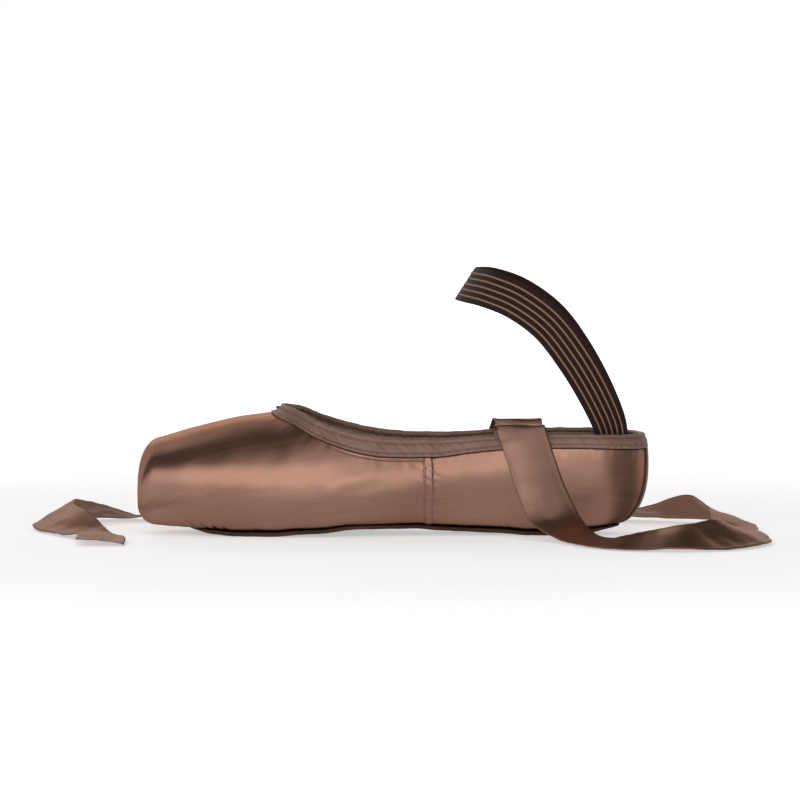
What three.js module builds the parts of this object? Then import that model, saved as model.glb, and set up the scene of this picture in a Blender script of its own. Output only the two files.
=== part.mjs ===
// A pointe shoe standing empty on its sole, with its ankle elastic up and its ribbons laid on the floor.
// Millimetres, +Z up, the toe towards -Y, the heel towards +Y, the floor at Z = 0.
// The shoe is straight-lasted: its left and right halves mirror each other in X.
import * as THREE from 'three';
import { mergeVertices } from 'three/addons/utils/BufferGeometryUtils.js';

// ---- Driving dimensions ----
const SHOE_LENGTH = 236;
const TOE_Y = -SHOE_LENGTH / 2;
const HEEL_Y = SHOE_LENGTH / 2;
const HEEL_RADIUS = 28;
const HEEL_CENTRE_Y = HEEL_Y - HEEL_RADIUS;
const GAP = 0.3;

// Toe platform: how far its rounded rim reaches back, and how far it draws in on each side.
const RIM_DEPTH = 7.5;
const RIM_SIDE = 5;
const RIM_TOP = 10;
const RIM_BOTTOM = 6.5;

const QUARTER_WALL = 1.8;
const BOX_WALL = 3;
const BOX_FRONT_Y = -95;
const BOX_END_Y = -62;

const THROAT_Y = -56;
const OPENING_FRONT_Y = -86;
const OPENING_ROUND = 16;
const OPENING_MARGIN = 1;

const SOLE_THICKNESS = 2;
const SOLE_FRONT_THICKNESS = 1.2;
const SOLE_MARGIN = 3;
const SOLE_FRONT_Y = -95;
const SOLE_ROUND = 14;
const SOLE_SKIVE = 12;

const INSOLE_THICKNESS = 1.6;
const INSOLE_MARGIN = 2;
const INSOLE_FRONT_Y = -106;
const INSOLE_ROUND = 12;
const INSOLE_STEP = 0.2;
const INSOLE_CLEARANCE = 0.6;
const PLUG_SETBACK = 2.2;

const BINDING_THICKNESS = 2.4;
const BINDING_GAP = 0.55;
const ELASTIC_WIDTH = 17.5;
const ELASTIC_THICKNESS = 1.2;
const RIBBON_WIDTH = 22;
const RIBBON_THICKNESS = 0.8;
const FLOOR_CLEARANCE = 0.1;

// Cross-sections of the last from toe to heel: half width, half width of its flat bottom, and the
// heights of that bottom, of the widest line and of the ridge. Behind the throat the ridge is
// only the curve that the side walls aim at.
const LAST = [
  { y: -118, half: 24.6, flat: 13, bottom: 6.2, widest: 22, ridge: 42.0, square: 2.3 },
  { y: -112, half: 26.2, flat: 14, bottom: 5.2, widest: 22, ridge: 43.9, square: 2.3 },
  { y: -105, half: 28.6, flat: 15.5, bottom: 4.6, widest: 21.5, ridge: 45.9, square: 2.25 },
  { y: -95, half: 31.7, flat: 17.5, bottom: 4.1, widest: 21, ridge: 48.9, square: 2.2 },
  { y: -82, half: 34.9, flat: 20.5, bottom: 3.1, widest: 20, ridge: 52.1, square: 2.15 },
  { y: -73, half: 36.7, flat: 22.5, bottom: 2.3, widest: 19.5, ridge: 54.2, square: 2.1 },
  { y: -54, half: 39.4, flat: 25, bottom: 2.3, widest: 19, ridge: 56.8, square: 2.05 },
  { y: -45, half: 40.2, flat: 25.5, bottom: 3.1, widest: 19.5, ridge: 58.4, square: 2.05 },
  { y: -31, half: 40.5, flat: 25, bottom: 3.9, widest: 20, ridge: 60.5, square: 2.05 },
  { y: -17, half: 38.6, flat: 21, bottom: 5.4, widest: 21.5, ridge: 61.5, square: 2.1 },
  { y: 0, half: 35, flat: 15.5, bottom: 5.4, widest: 23.5, ridge: 62.5, square: 2.1 },
  { y: 11, half: 32.8, flat: 13, bottom: 5.4, widest: 25, ridge: 63, square: 2.1 },
  { y: 20, half: 31.4, flat: 12, bottom: 4.6, widest: 26, ridge: 63.5, square: 2.1 },
  { y: 34, half: 30, flat: 11.5, bottom: 3.9, widest: 27.5, ridge: 65.5, square: 2.1 },
  { y: 53, half: 29, flat: 11.5, bottom: 3.1, widest: 29.5, ridge: 69, square: 2.1 },
  { y: 62, half: 28.6, flat: 12, bottom: 2.3, widest: 30.5, ridge: 71, square: 2.15 },
  { y: 76, half: 28.2, flat: 12, bottom: 2.3, widest: 31.5, ridge: 74, square: 2.2 },
  { y: 90, half: 28, flat: 12, bottom: 3.3, widest: 32, ridge: 75, square: 2.2 },
  { y: 102, half: 28, flat: 12, bottom: 5, widest: 32, ridge: 75, square: 2.2 },
  { y: 118, half: 28, flat: 12, bottom: 6.4, widest: 32, ridge: 75, square: 2.2 },
];

// The line where satin meets the drawstring casing: its height, then how tall the casing stands
// on it and how far the casing leans inwards from upright, in degrees.
const COLLAR = [
  { y: -56, edge: 56.6, tall: 7.2, lean: 52 },
  { y: -52, edge: 54.9, tall: 7.2, lean: 40 },
  { y: -45, edge: 52.4, tall: 7.3, lean: 28 },
  { y: -35, edge: 47.3, tall: 7.4, lean: 20 },
  { y: -25, edge: 43.5, tall: 7.6, lean: 15 },
  { y: -15, edge: 40.6, tall: 7.8, lean: 12 },
  { y: -4, edge: 38.8, tall: 7.8, lean: 11 },
  { y: 6, edge: 38.4, tall: 7.3, lean: 11 },
  { y: 19, edge: 38.4, tall: 7.2, lean: 11 },
  { y: 38, edge: 40.6, tall: 5.6, lean: 11 },
  { y: 61, edge: 42.4, tall: 5.2, lean: 11 },
  { y: 85, edge: 42.6, tall: 4.9, lean: 12 },
  { y: 118, edge: 41.3, tall: 5.5, lean: 14 },
];

// Half of the ankle elastic, from its sewn end to the front of the ankle: centre line, then the
// compass direction and the upward tilt, in degrees, that its outer face has.
const ELASTIC = [
  { x: 18.7, y: 102.6, z: 32, facing: 34, tilt: 0 },
  { x: 18.4, y: 102.4, z: 38, facing: 34, tilt: 0 },
  { x: 17.4, y: 101.7, z: 45, facing: 34, tilt: 0 },
  { x: 17.9, y: 100.6, z: 51, facing: 33, tilt: 0 },
  { x: 23.4, y: 94.6, z: 65, facing: 25, tilt: 2 },
  { x: 29.8, y: 84.3, z: 83, facing: 14, tilt: 4 },
  { x: 33.2, y: 72, z: 99, facing: 2, tilt: 6 },
  { x: 32, y: 57.5, z: 109.5, facing: -18, tilt: 12 },
  { x: 24.5, y: 44.5, z: 114.5, facing: -46, tilt: 22 },
  { x: 12, y: 36, z: 116, facing: -72, tilt: 30 },
  { x: 0, y: 33.5, z: 116.2, facing: -90, tilt: 33 },
];

// Each ribbon is sewn inside the quarter, comes up over the collar and drops to the floor. x is
// measured outwards from the middle of the shoe. `drift` is how far the ribbon leans as it falls:
// the +X ribbon towards the heel, the -X one towards the toe. `lift` turns it on its own length.
const RIBBON_Y = 58;
const RIBBON_DROP = [
  { x: 24.2, z: 24, drift: 0, lift: 0 },
  { x: 24.1, z: 32, drift: 0, lift: 0 },
  { x: 23.6, z: 40, drift: 0, lift: 0 },
  { x: 22.6, z: 46.5, drift: 0, lift: 0 },
  { x: 23.2, z: 50.2, drift: 0.2, lift: 0 },
  { x: 25.8, z: 51.8, drift: 0.8, lift: 0 },
  { x: 28.8, z: 50.2, drift: 1.7, lift: 2 },
  { x: 30.8, z: 46, drift: 3.1, lift: 6 },
  { x: 32.8, z: 38, drift: 5.8, lift: 11 },
  { x: 34.6, z: 28, drift: 9.2, lift: 12 },
  { x: 37.3, z: 18, drift: 13.2, lift: 8 },
  { x: 42, z: 9.2, drift: 18.4, lift: 3 },
  { x: 50, z: 3.6, drift: 25, lift: 0 },
];

// Where each ribbon lies on the floor: place, and how far it is turned up on edge, in degrees.
const RIBBON_INNER_FLOOR = [
  { x: 63, y: 91, lift: -2 },
  { x: 80, y: 99, lift: -8 },
  { x: 94, y: 114, lift: -18 },
  { x: 97, y: 136, lift: -28 },
  { x: 84, y: 155, lift: -30 },
  { x: 61, y: 163, lift: -18 },
  { x: 36, y: 162, lift: -4 },
  { x: 11, y: 158, lift: 4 },
  { x: -14, y: 159, lift: -10 },
  { x: -39, y: 156, lift: -26 },
  { x: -60, y: 142, lift: -34 },
  { x: -70, y: 119, lift: -20 },
  { x: -78, y: 95, lift: 4 },
  { x: -95, y: 77, lift: 12 },
  { x: -124, y: 69, lift: 4 },
];
const RIBBON_OUTER_FLOOR = [
  { x: -63, y: 25, lift: -2 },
  { x: -80, y: 12, lift: -12 },
  { x: -91, y: -9, lift: -24 },
  { x: -89, y: -35, lift: -26 },
  { x: -77, y: -59, lift: -8 },
  { x: -68, y: -84, lift: 8 },
  { x: -69, y: -110, lift: 10 },
  { x: -68, y: -135, lift: -8 },
  { x: -51, y: -154, lift: -28 },
  { x: -25, y: -161, lift: -34 },
  { x: 1, y: -156, lift: -26 },
  { x: 24, y: -144, lift: -8 },
  { x: 47, y: -133, lift: 4 },
  { x: 81, y: -130, lift: 6 },
];

// ---- Curves through the tables ----

// A curve through one column of a table that never swings past its rows.
function columnCurve(rows, name) {
  const places = rows.map((row) => row.y);
  const values = rows.map((row) => row[name]);
  const secants = places.slice(1).map((y, i) => (values[i + 1] - values[i]) / (y - places[i]));
  const slopes = values.map((_, i) => {
    if (i === 0) return secants[0];
    if (i === values.length - 1) return secants[i - 1];
    const product = secants[i - 1] * secants[i];
    return product <= 0 ? 0 : (2 * product) / (secants[i - 1] + secants[i]);
  });
  return (y) => {
    const at = THREE.MathUtils.clamp(y, places[0], places[places.length - 1]);
    let i = 0;
    while (i < places.length - 2 && at > places[i + 1]) i += 1;
    const span = places[i + 1] - places[i];
    const t = (at - places[i]) / span;
    const rise = (3 - 2 * t) * t * t;
    const lead = t * (1 - t) * (1 - t) * slopes[i] - t * t * (1 - t) * slopes[i + 1];
    return values[i] * (1 - rise) + values[i + 1] * rise + span * lead;
  };
}

const lastCurves = Object.fromEntries(
  ['half', 'flat', 'bottom', 'widest', 'ridge', 'square'].map((name) => [name, columnCurve(LAST, name)]),
);
const collarCurves = Object.fromEntries(
  ['edge', 'tall', 'lean'].map((name) => [name, columnCurve(COLLAR, name)]),
);

// 0 at the start of a rounded end and 1 from its full width on.
function roundedEnd(distance, depth) {
  const share = THREE.MathUtils.clamp(1 - distance / depth, 0, 1);
  return Math.sqrt(1 - share * share);
}

function wallThickness(y) {
  const share = THREE.MathUtils.smoothstep(y, BOX_FRONT_Y, BOX_END_Y);
  return THREE.MathUtils.lerp(BOX_WALL, QUARTER_WALL, share);
}

// ---- The last ----

// A station is one section plane. `turn` is 0 for planes across the shoe, and goes to a right
// angle round the heel, where the planes fan about the heel's centre.
function sectionAt(station) {
  const along = station.y + HEEL_RADIUS * Math.sin(station.turn);
  const rim = 1 - roundedEnd(station.y - TOE_Y, RIM_DEPTH);
  const flat = lastCurves.flat(along);
  const footY = station.y + flat * Math.sin(station.turn);
  return {
    half: lastCurves.half(along) - RIM_SIDE * rim,
    flat,
    bottom: lastCurves.bottom(footY) + RIM_BOTTOM * rim,
    widest: lastCurves.widest(along),
    ridge: lastCurves.ridge(along) - RIM_TOP * rim,
    square: lastCurves.square(along),
    collar: collarCurves.edge(along),
  };
}

// A point of the last's side: `angle` goes from -90 degrees at the flat bottom's edge, through 0
// at the widest line, to 90 degrees at the ridge.
function sidePoint(station, angle) {
  const section = sectionAt(station);
  const power = 2 / section.square;
  const inset = angle < 0 ? section.flat : 0;
  const height = angle < 0 ? section.widest - section.bottom : section.ridge - section.widest;
  const out = inset + (section.half - inset) * Math.cos(angle) ** power;
  const rise = Math.sign(angle) * height * Math.abs(Math.sin(angle)) ** power;
  return placeInStation(station, out, section.widest + rise);
}

function placeInStation(station, out, height) {
  return new THREE.Vector3(
    out * Math.cos(station.turn),
    station.y + out * Math.sin(station.turn),
    height,
  );
}

// The side angle at which the satin ends: the ridge in front of the throat, the collar behind it.
function collarAngle(station) {
  if (station.y <= THROAT_Y) return Math.PI / 2;
  const section = sectionAt(station);
  const share = (section.collar - section.widest) / (section.ridge - section.widest);
  return Math.asin(Math.min(share, 1) ** (section.square / 2));
}

// Height of the last's underside over a point of the floor.
function undersideHeight(x, y) {
  const behind = Math.max(0, y - HEEL_CENTRE_Y);
  const out = Math.hypot(x, behind);
  const turn = out > 0 ? Math.asin(behind / out) : 0;
  const section = sectionAt({ y: Math.min(y, HEEL_CENTRE_Y), turn });
  if (out <= section.flat) return lastCurves.bottom(y);
  const share = Math.min((out - section.flat) / (section.half - section.flat), 1);
  const drop = (1 - share ** section.square) ** (1 / section.square);
  return section.widest - (section.widest - section.bottom) * drop;
}

// Half width of a piece or hole that is wider than the last's flat bottom by a margin.
function plateHalf(y, front, frontRound, margin) {
  const full = lastCurves.flat(y) + margin;
  if (y > HEEL_CENTRE_Y) return Math.sqrt(Math.max(0, full ** 2 - (y - HEEL_CENTRE_Y) ** 2));
  return full * roundedEnd(Math.max(0, y - front), frontRound);
}

// Half width of the hole under the upper, inside its turned-in margin.
const openingHalf = (y) => plateHalf(y, OPENING_FRONT_Y, OPENING_ROUND, -OPENING_MARGIN);

// ---- Sheets and solids ----

// Evenly spaced values after `from`, up to and including `to`.
function lerpTo(from, to, count) {
  return Array.from({ length: count }, (_, i) => from + ((to - from) * (i + 1)) / count);
}

// Triangles of a grid of points, as a list of corners.
function gridTriangles(grid, flipped = false) {
  const corners = [];
  for (let i = 0; i < grid.length - 1; i += 1) {
    for (let j = 0; j < grid[i].length - 1; j += 1) {
      const [a, b, c, d] = [grid[i][j], grid[i + 1][j], grid[i + 1][j + 1], grid[i][j + 1]];
      corners.push(...(flipped ? [a, c, b, a, d, c] : [a, b, c, a, c, d]));
    }
  }
  return corners;
}

const mirrored = (grid) => grid.map((row) => row.map((p) => new THREE.Vector3(-p.x, p.y, p.z)));

// One welded surface from loose triangles, without those that have shrunk to a line.
function weld(corners) {
  const loose = new THREE.BufferGeometry().setFromPoints(corners);
  const welded = mergeVertices(loose, 1e-3);
  const index = [];
  for (let i = 0; i < welded.index.count; i += 3) {
    const [a, b, c] = [0, 1, 2].map((k) => welded.index.getX(i + k));
    if (a !== b && b !== c && c !== a) index.push(a, b, c);
  }
  welded.setIndex(index);
  welded.computeVertexNormals();
  return welded;
}

// A closed solid between two copies of a surface. `front` and `back` give how far a point moves
// to the front face and to the back face.
function thicken(surface, front, back) {
  const place = surface.getAttribute('position');
  const facing = surface.getAttribute('normal');
  const faces = [front, back].map((move) => {
    return Array.from({ length: place.count }, (_, i) => {
      const point = new THREE.Vector3().fromBufferAttribute(place, i);
      const normal = new THREE.Vector3().fromBufferAttribute(facing, i);
      return point.clone().add(move(point, normal));
    });
  });
  const index = surface.index.array;
  const edges = new Map();
  const solid = [];
  const backOf = (i) => i + place.count;
  for (let i = 0; i < index.length; i += 3) {
    const [a, b, c] = [index[i], index[i + 1], index[i + 2]];
    solid.push(a, b, c, backOf(a), backOf(c), backOf(b));
    for (const [from, to] of [[a, b], [b, c], [c, a]]) edges.set(`${from} ${to}`, [from, to]);
  }
  for (const [from, to] of edges.values()) {
    if (!edges.has(`${to} ${from}`)) solid.push(to, from, backOf(from), to, backOf(from), backOf(to));
  }
  const geometry = new THREE.BufferGeometry().setFromPoints([...faces[0], ...faces[1]]);
  geometry.setIndex(solid);
  geometry.computeVertexNormals();
  return geometry;
}

const alongNormal = (distance) => (point, normal) => normal.clone().multiplyScalar(distance);
const straightUp = (distance) => new THREE.Vector3(0, 0, distance);
const stay = () => new THREE.Vector3();

// Both halves of the shoe from the +X half.
const bothHalves = (grid) => weld([...gridTriangles(grid), ...gridTriangles(mirrored(grid), true)]);

// ---- Stations ----

const HEEL_FAN_STEPS = 8;
const RIM_STEPS = 4;

// Section planes between two places: the table's rows and the points halfway between them.
function tableStations(from, to) {
  const places = LAST.flatMap((row, i) => (i ? [(row.y + LAST[i - 1].y) / 2, row.y] : [row.y]));
  return places.filter((y) => y > from && y < to);
}

function upperStations() {
  const quarterTurn = Math.PI / 2;
  const rim = lerpTo(0, quarterTurn, RIM_STEPS).map((angle) => TOE_Y + RIM_DEPTH * (1 - Math.cos(angle)));
  const throat = [0, 0.7, 2.4, 5, 8.4].map((back) => THROAT_Y + back);
  const opening = [0, 1.2, 4.5, 9.5].map((back) => OPENING_FRONT_Y + back);
  const front = tableStations(rim[rim.length - 1] + 1, OPENING_FRONT_Y - 1);
  const vamp = tableStations(opening[3] + 1, THROAT_Y - 1);
  const quarter = tableStations(throat[4] + 1, HEEL_CENTRE_Y);
  const across = [TOE_Y, ...rim, ...front, ...opening, ...vamp, ...throat, ...quarter, HEEL_CENTRE_Y];
  const fan = lerpTo(0, quarterTurn, HEEL_FAN_STEPS).map((turn) => ({ y: HEEL_CENTRE_Y, turn }));
  return [...across.map((y) => ({ y, turn: 0 })), ...fan];
}

// ---- Upper ----

const LOWER_ANGLES = [-84, -70, -50, -26, 0];
const TOP_STEPS = 7;
const PLATFORM_RINGS = [0, 0.55];

// One section of the satin's outer face, from the middle or the hole's edge up to the top.
function upperRow(station) {
  const section = sectionAt(station);
  const start = station.turn > 0 ? section.flat - OPENING_MARGIN : openingHalf(station.y);
  const lower = LOWER_ANGLES.map(THREE.MathUtils.degToRad);
  const top = lerpTo(0, collarAngle(station), TOP_STEPS);
  return [
    placeInStation(station, start, section.bottom),
    placeInStation(station, section.flat, section.bottom),
    ...[...lower, ...top].map((angle) => sidePoint(station, angle)),
  ];
}

function platformRow(share) {
  const rim = upperRow({ y: TOE_Y, turn: 0 });
  const centre = new THREE.Vector3(0, TOE_Y, sectionAt({ y: TOE_Y, turn: 0 }).widest);
  return rim.map((point) => centre.clone().lerp(point, share));
}

function upperGeometry() {
  const grid = [...PLATFORM_RINGS.map(platformRow), ...upperStations().map(upperRow)];
  const inwards = (point, normal) => normal.clone().multiplyScalar(-wallThickness(point.y));
  return thicken(bothHalves(grid), stay, inwards);
}

// ---- Outsole and insole ----

function soleThickness(y) {
  const share = THREE.MathUtils.smoothstep(y, SOLE_FRONT_Y, SOLE_FRONT_Y + SOLE_SKIVE);
  return THREE.MathUtils.lerp(SOLE_FRONT_THICKNESS, SOLE_THICKNESS, share);
}

// Places along a flat piece with rounded ends.
function plateStations(front, frontRound, back) {
  const turns = lerpTo(0, Math.PI / 2, 5);
  const nose = [0, ...turns.map((angle) => frontRound * (1 - Math.cos(angle)))];
  const backRound = back - HEEL_CENTRE_Y;
  const tail = turns.map((angle) => HEEL_CENTRE_Y + backRound * Math.sin(angle));
  const middle = tableStations(front + frontRound + 1, HEEL_CENTRE_Y);
  return [...nose.map((step) => front + step), ...middle, HEEL_CENTRE_Y, ...tail];
}

function outsoleGeometry() {
  const back = HEEL_CENTRE_Y + lastCurves.flat(HEEL_Y) + SOLE_MARGIN;
  const grid = plateStations(SOLE_FRONT_Y, SOLE_ROUND, back).map((y) => {
    const half = plateHalf(y, SOLE_FRONT_Y, SOLE_ROUND, SOLE_MARGIN);
    const flat = Math.min(lastCurves.flat(y), half * 0.8);
    const outs = [0, flat, (flat + half) / 2, half];
    return outs.map((x) => new THREE.Vector3(x, y, undersideHeight(x, y) - GAP));
  });
  return thicken(plateSurface(grid), stay, (point) => straightUp(-soleThickness(point.y)));
}

// Both halves of a plate whose rows go towards the heel, facing up.
const plateSurface = (grid) => bothHalves([...grid].reverse());

// Half width of the thicker middle that fills the hole under the upper.
function insolePlugHalf(y) {
  const narrowest = Math.min(openingHalf(y - PLUG_SETBACK), openingHalf(y + PLUG_SETBACK));
  return Math.max(0, narrowest - INSOLE_CLEARANCE);
}

// Places along the insole, closer together where its plug begins and ends.
function insoleStations() {
  const heelFlat = lastCurves.flat(HEEL_Y);
  const plate = plateStations(INSOLE_FRONT_Y, INSOLE_ROUND, HEEL_CENTRE_Y + heelFlat + INSOLE_MARGIN);
  const plugFront = OPENING_FRONT_Y + PLUG_SETBACK;
  const plugBack = HEEL_CENTRE_Y + heelFlat - OPENING_MARGIN - PLUG_SETBACK;
  const nose = [0, INSOLE_STEP, 1, 3, 7].map((step) => plugFront + step);
  const tail = [-3, -1, -INSOLE_STEP, 0].map((step) => plugBack + step);
  const isClear = (y) => [...nose, ...tail].every((place) => Math.abs(place - y) > 1);
  return [...plate.filter(isClear), ...nose, ...tail].sort((a, b) => a - b);
}

function insoleGeometry() {
  const lift = (y) => wallThickness(y) + GAP + INSOLE_THICKNESS;
  const grid = insoleStations().map((y) => {
    const half = plateHalf(y, INSOLE_FRONT_Y, INSOLE_ROUND, INSOLE_MARGIN);
    const plug = Math.min(insolePlugHalf(y), half);
    const step = Math.min(plug + INSOLE_STEP, half);
    const rim = Math.max(half - 1, step);
    return [0, plug, step, rim, half].map((x) => new THREE.Vector3(x, y, undersideHeight(x, y) + lift(y)));
  });
  const depth = (point) => {
    const plug = insolePlugHalf(point.y);
    const inPlug = plug > 0 && Math.abs(point.x) < plug + INSOLE_STEP / 2;
    return inPlug ? lift(point.y) : INSOLE_THICKNESS;
  };
  return thicken(plateSurface(grid), stay, (point) => straightUp(-depth(point)));
}

// ---- Drawstring casing round the collar ----

// Steps, in radians and millimetres, that give the directions of the surface at a point.
const SMALL_ANGLE = 0.02;
const SMALL_STEP = 0.4;

// Place on the collar line, with the satin's outward normal.
function collarFrame(station) {
  const angle = collarAngle(station);
  const point = sidePoint(station, angle);
  const isFan = station.turn > 0;
  const turn = isFan ? station.turn - SMALL_ANGLE : 0;
  const y = isFan ? station.y : station.y - SMALL_STEP;
  const below = sidePoint(station, angle - SMALL_ANGLE);
  const beside = sidePoint({ y, turn }, angle);
  const down = below.sub(point);
  const forward = beside.sub(point);
  const normal = forward.cross(down).normalize();
  return { point, normal };
}

const BINDING_STEPS = 3;

function bindingRow(station, edgeDirection) {
  const { point, normal } = collarFrame(station);
  const along = station.y + HEEL_RADIUS * Math.sin(station.turn);
  const away = new THREE.Vector3().crossVectors(normal, edgeDirection).normalize();
  const lean = THREE.MathUtils.degToRad(collarCurves.lean(along));
  const inwards = new THREE.Vector3(-normal.x, -normal.y, 0).normalize();
  const upright = new THREE.Vector3(0, 0, Math.cos(lean)).addScaledVector(inwards, Math.sin(lean));
  const tall = collarCurves.tall(along);
  const foot = point.clone().addScaledVector(normal, -QUARTER_WALL / 2).addScaledVector(away, BINDING_GAP);
  const bend = foot.clone().addScaledVector(away, tall * 0.35);
  const top = foot.clone().addScaledVector(upright, tall);
  const curve = new THREE.QuadraticBezierCurve3(foot, bend, top);
  return curve.getPoints(BINDING_STEPS);
}

function bindingGrid() {
  const stations = upperStations().filter((station) => station.y >= THROAT_Y);
  const points = stations.map((station) => collarFrame(station).point);
  const last = points.length - 1;
  return stations.map((station, i) => {
    const before = i > 0 ? points[i - 1] : mirroredPoint(points[1]);
    const after = i < last ? points[i + 1] : mirroredPoint(points[i - 1]);
    const row = bindingRow(station, after.clone().sub(before).normalize());
    const inMirrorPlane = i === 0 || i === last;
    return inMirrorPlane ? row.map((point) => point.setX(0)) : row;
  });
}

const mirroredPoint = (point) => new THREE.Vector3(-point.x, point.y, point.z);

function bindingGeometry() {
  const half = BINDING_THICKNESS / 2;
  return thicken(bothHalves(bindingGrid()), alongNormal(half), alongNormal(-half));
}

// ---- Bands: ankle elastic and ribbons ----

// A flat band along a centre line. `acrossAt` gives the direction of its width at a share of it.
// No part of it goes below the height of its own surface lying flat on the floor.
function bandGeometry(curve, steps, acrossAt, width, thickness) {
  const lowest = FLOOR_CLEARANCE + thickness / 2;
  const rows = Array.from({ length: steps + 1 }, (_, i) => {
    const share = i / steps;
    const middle = curve.getPointAt(share);
    const tangent = curve.getTangentAt(share);
    const across = acrossAt(share, tangent);
    across.addScaledVector(tangent, -across.dot(tangent)).normalize();
    const reach = (width / 2) * Math.abs(across.z);
    middle.z = Math.max(middle.z, lowest + reach);
    return [-0.5, 0, 0.5].map((place) => middle.clone().addScaledVector(across, place * width));
  });
  const half = thickness / 2;
  return thicken(weld(gridTriangles(rows)), alongNormal(half), alongNormal(-half));
}

// A value of a table's column at a share of the curve through its rows.
function valueAlong(curve, values, share) {
  const at = curve.getUtoTmapping(share) * (values.length - 1);
  const i = Math.min(Math.floor(at), values.length - 2);
  return THREE.MathUtils.lerp(values[i], values[i + 1], at - i);
}

function smoothCurve(points) {
  const curve = new THREE.CatmullRomCurve3(points, false, 'centripetal');
  curve.arcLengthDivisions = 600;
  return curve;
}

const ELASTIC_STEPS = 44;

function elasticGeometry() {
  const other = ELASTIC.slice(0, -1).reverse();
  const rows = [...ELASTIC, ...other.map((row) => ({ ...row, x: -row.x, facing: -180 - row.facing }))];
  const curve = smoothCurve(rows.map((row) => new THREE.Vector3(row.x, row.y, row.z)));
  const facings = rows.map((row) => row.facing);
  const tilts = rows.map((row) => row.tilt);
  const acrossAt = (share, tangent) => {
    const facing = THREE.MathUtils.degToRad(valueAlong(curve, facings, share));
    const tilt = THREE.MathUtils.degToRad(valueAlong(curve, tilts, share));
    const level = Math.cos(tilt);
    const out = new THREE.Vector3(level * Math.cos(facing), level * Math.sin(facing), Math.sin(tilt));
    return out.cross(tangent);
  };
  return bandGeometry(curve, ELASTIC_STEPS, acrossAt, ELASTIC_WIDTH, ELASTIC_THICKNESS);
}

const RIBBON_STEPS = 72;
const SEWN_SHARE = 0.2;
const STEEP = 0.3;
const STEEP_GAIN = 1.4;

// A ribbon's middle is as high above the floor as its lower edge needs.
function ribbonFloorHeight(lift) {
  const angle = THREE.MathUtils.degToRad(Math.abs(lift));
  return (RIBBON_WIDTH / 2) * Math.sin(angle) + (RIBBON_THICKNESS / 2) * Math.cos(angle) + FLOOR_CLEARANCE;
}

// `side` is 1 for the ribbon on the +X side and -1 for the other.
function ribbonGeometry(side, floorRows) {
  const drop = RIBBON_DROP.map((row) => {
    return new THREE.Vector3(side * row.x, RIBBON_Y + side * row.drift, row.z);
  });
  const floor = floorRows.map((row) => new THREE.Vector3(row.x, row.y, ribbonFloorHeight(row.lift)));
  const curve = smoothCurve([...drop, ...floor]);
  const lifts = [...RIBBON_DROP, ...floorRows].map((row) => row.lift);
  const acrossAt = (share, tangent) => {
    const lift = THREE.MathUtils.degToRad(valueAlong(curve, lifts, share));
    const flat = new THREE.Vector3(tangent.y, -tangent.x, 0);
    const sewn = new THREE.Vector3(0, -side, 0);
    const steep = Math.abs(tangent.z);
    const isUpright = steep > STEEP || share < SEWN_SHARE;
    const across = flat.lerp(sewn, isUpright ? Math.min(1, steep * STEEP_GAIN) : 0).normalize();
    const up = new THREE.Vector3().crossVectors(across, tangent);
    return across.multiplyScalar(Math.cos(lift)).addScaledVector(up, Math.sin(lift));
  };
  return bandGeometry(curve, RIBBON_STEPS, acrossAt, RIBBON_WIDTH, RIBBON_THICKNESS);
}

// ---- Drawstring knot in the casing's slot at the throat ----

const KNOT_SIZE = { x: 1.7, y: 1.1, z: 1.3 };
const KNOT_RISE = 0.45;

// The corner points of every triangle of a geometry.
function triangleCorners(geometry) {
  const place = geometry.toNonIndexed().getAttribute('position');
  return Array.from({ length: place.count }, (_, i) => new THREE.Vector3().fromBufferAttribute(place, i));
}

function knotMesh(material) {
  const casing = bindingGrid()[0];
  const [foot, top] = [casing[0], casing[casing.length - 1]];
  const up = top.clone().sub(foot).normalize();
  const outwards = new THREE.Vector3(1, 0, 0).cross(up);
  const distance = BINDING_THICKNESS / 2 + GAP + KNOT_SIZE.y;
  const sphere = new THREE.SphereGeometry(1, 12, 8).scale(KNOT_SIZE.x, KNOT_SIZE.y, KNOT_SIZE.z);
  sphere.deleteAttribute('normal');
  sphere.deleteAttribute('uv');
  const mesh = new THREE.Mesh(weld(triangleCorners(sphere)), material);
  mesh.position.copy(foot).lerp(top, KNOT_RISE).addScaledVector(outwards, distance);
  mesh.rotation.x = Math.atan2(up.z, up.y) - Math.PI / 2;
  return mesh;
}

// ---- The shoe ----

const satin = new THREE.MeshStandardMaterial({ color: 0x8c6655, roughness: 0.38, metalness: 0 });
const bindingCotton = new THREE.MeshStandardMaterial({ color: 0x825f50, roughness: 0.6, metalness: 0 });
const ribbonSatin = new THREE.MeshStandardMaterial({ color: 0x7a5444, roughness: 0.32, metalness: 0 });
const elasticWeave = new THREE.MeshStandardMaterial({ color: 0x3a1d12, roughness: 0.7, metalness: 0 });
const soleLeather = new THREE.MeshStandardMaterial({ color: 0x4a2a1e, roughness: 0.65, metalness: 0 });
const insoleBoard = new THREE.MeshStandardMaterial({ color: 0x9a7a66, roughness: 0.8, metalness: 0 });

const shoe = new THREE.Group();

function addPiece(name, mesh) {
  mesh.name = name;
  shoe.add(mesh);
}

addPiece('upper', new THREE.Mesh(upperGeometry(), satin));
addPiece('outsole', new THREE.Mesh(outsoleGeometry(), soleLeather));
addPiece('insole', new THREE.Mesh(insoleGeometry(), insoleBoard));
addPiece('collar_binding', new THREE.Mesh(bindingGeometry(), bindingCotton));
addPiece('ankle_elastic', new THREE.Mesh(elasticGeometry(), elasticWeave));
addPiece('drawstring_knot', knotMesh(bindingCotton));
addPiece('ribbon_inner', new THREE.Mesh(ribbonGeometry(1, RIBBON_INNER_FLOOR), ribbonSatin));
addPiece('ribbon_outer', new THREE.Mesh(ribbonGeometry(-1, RIBBON_OUTER_FLOOR), ribbonSatin));

export default shoe;
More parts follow.
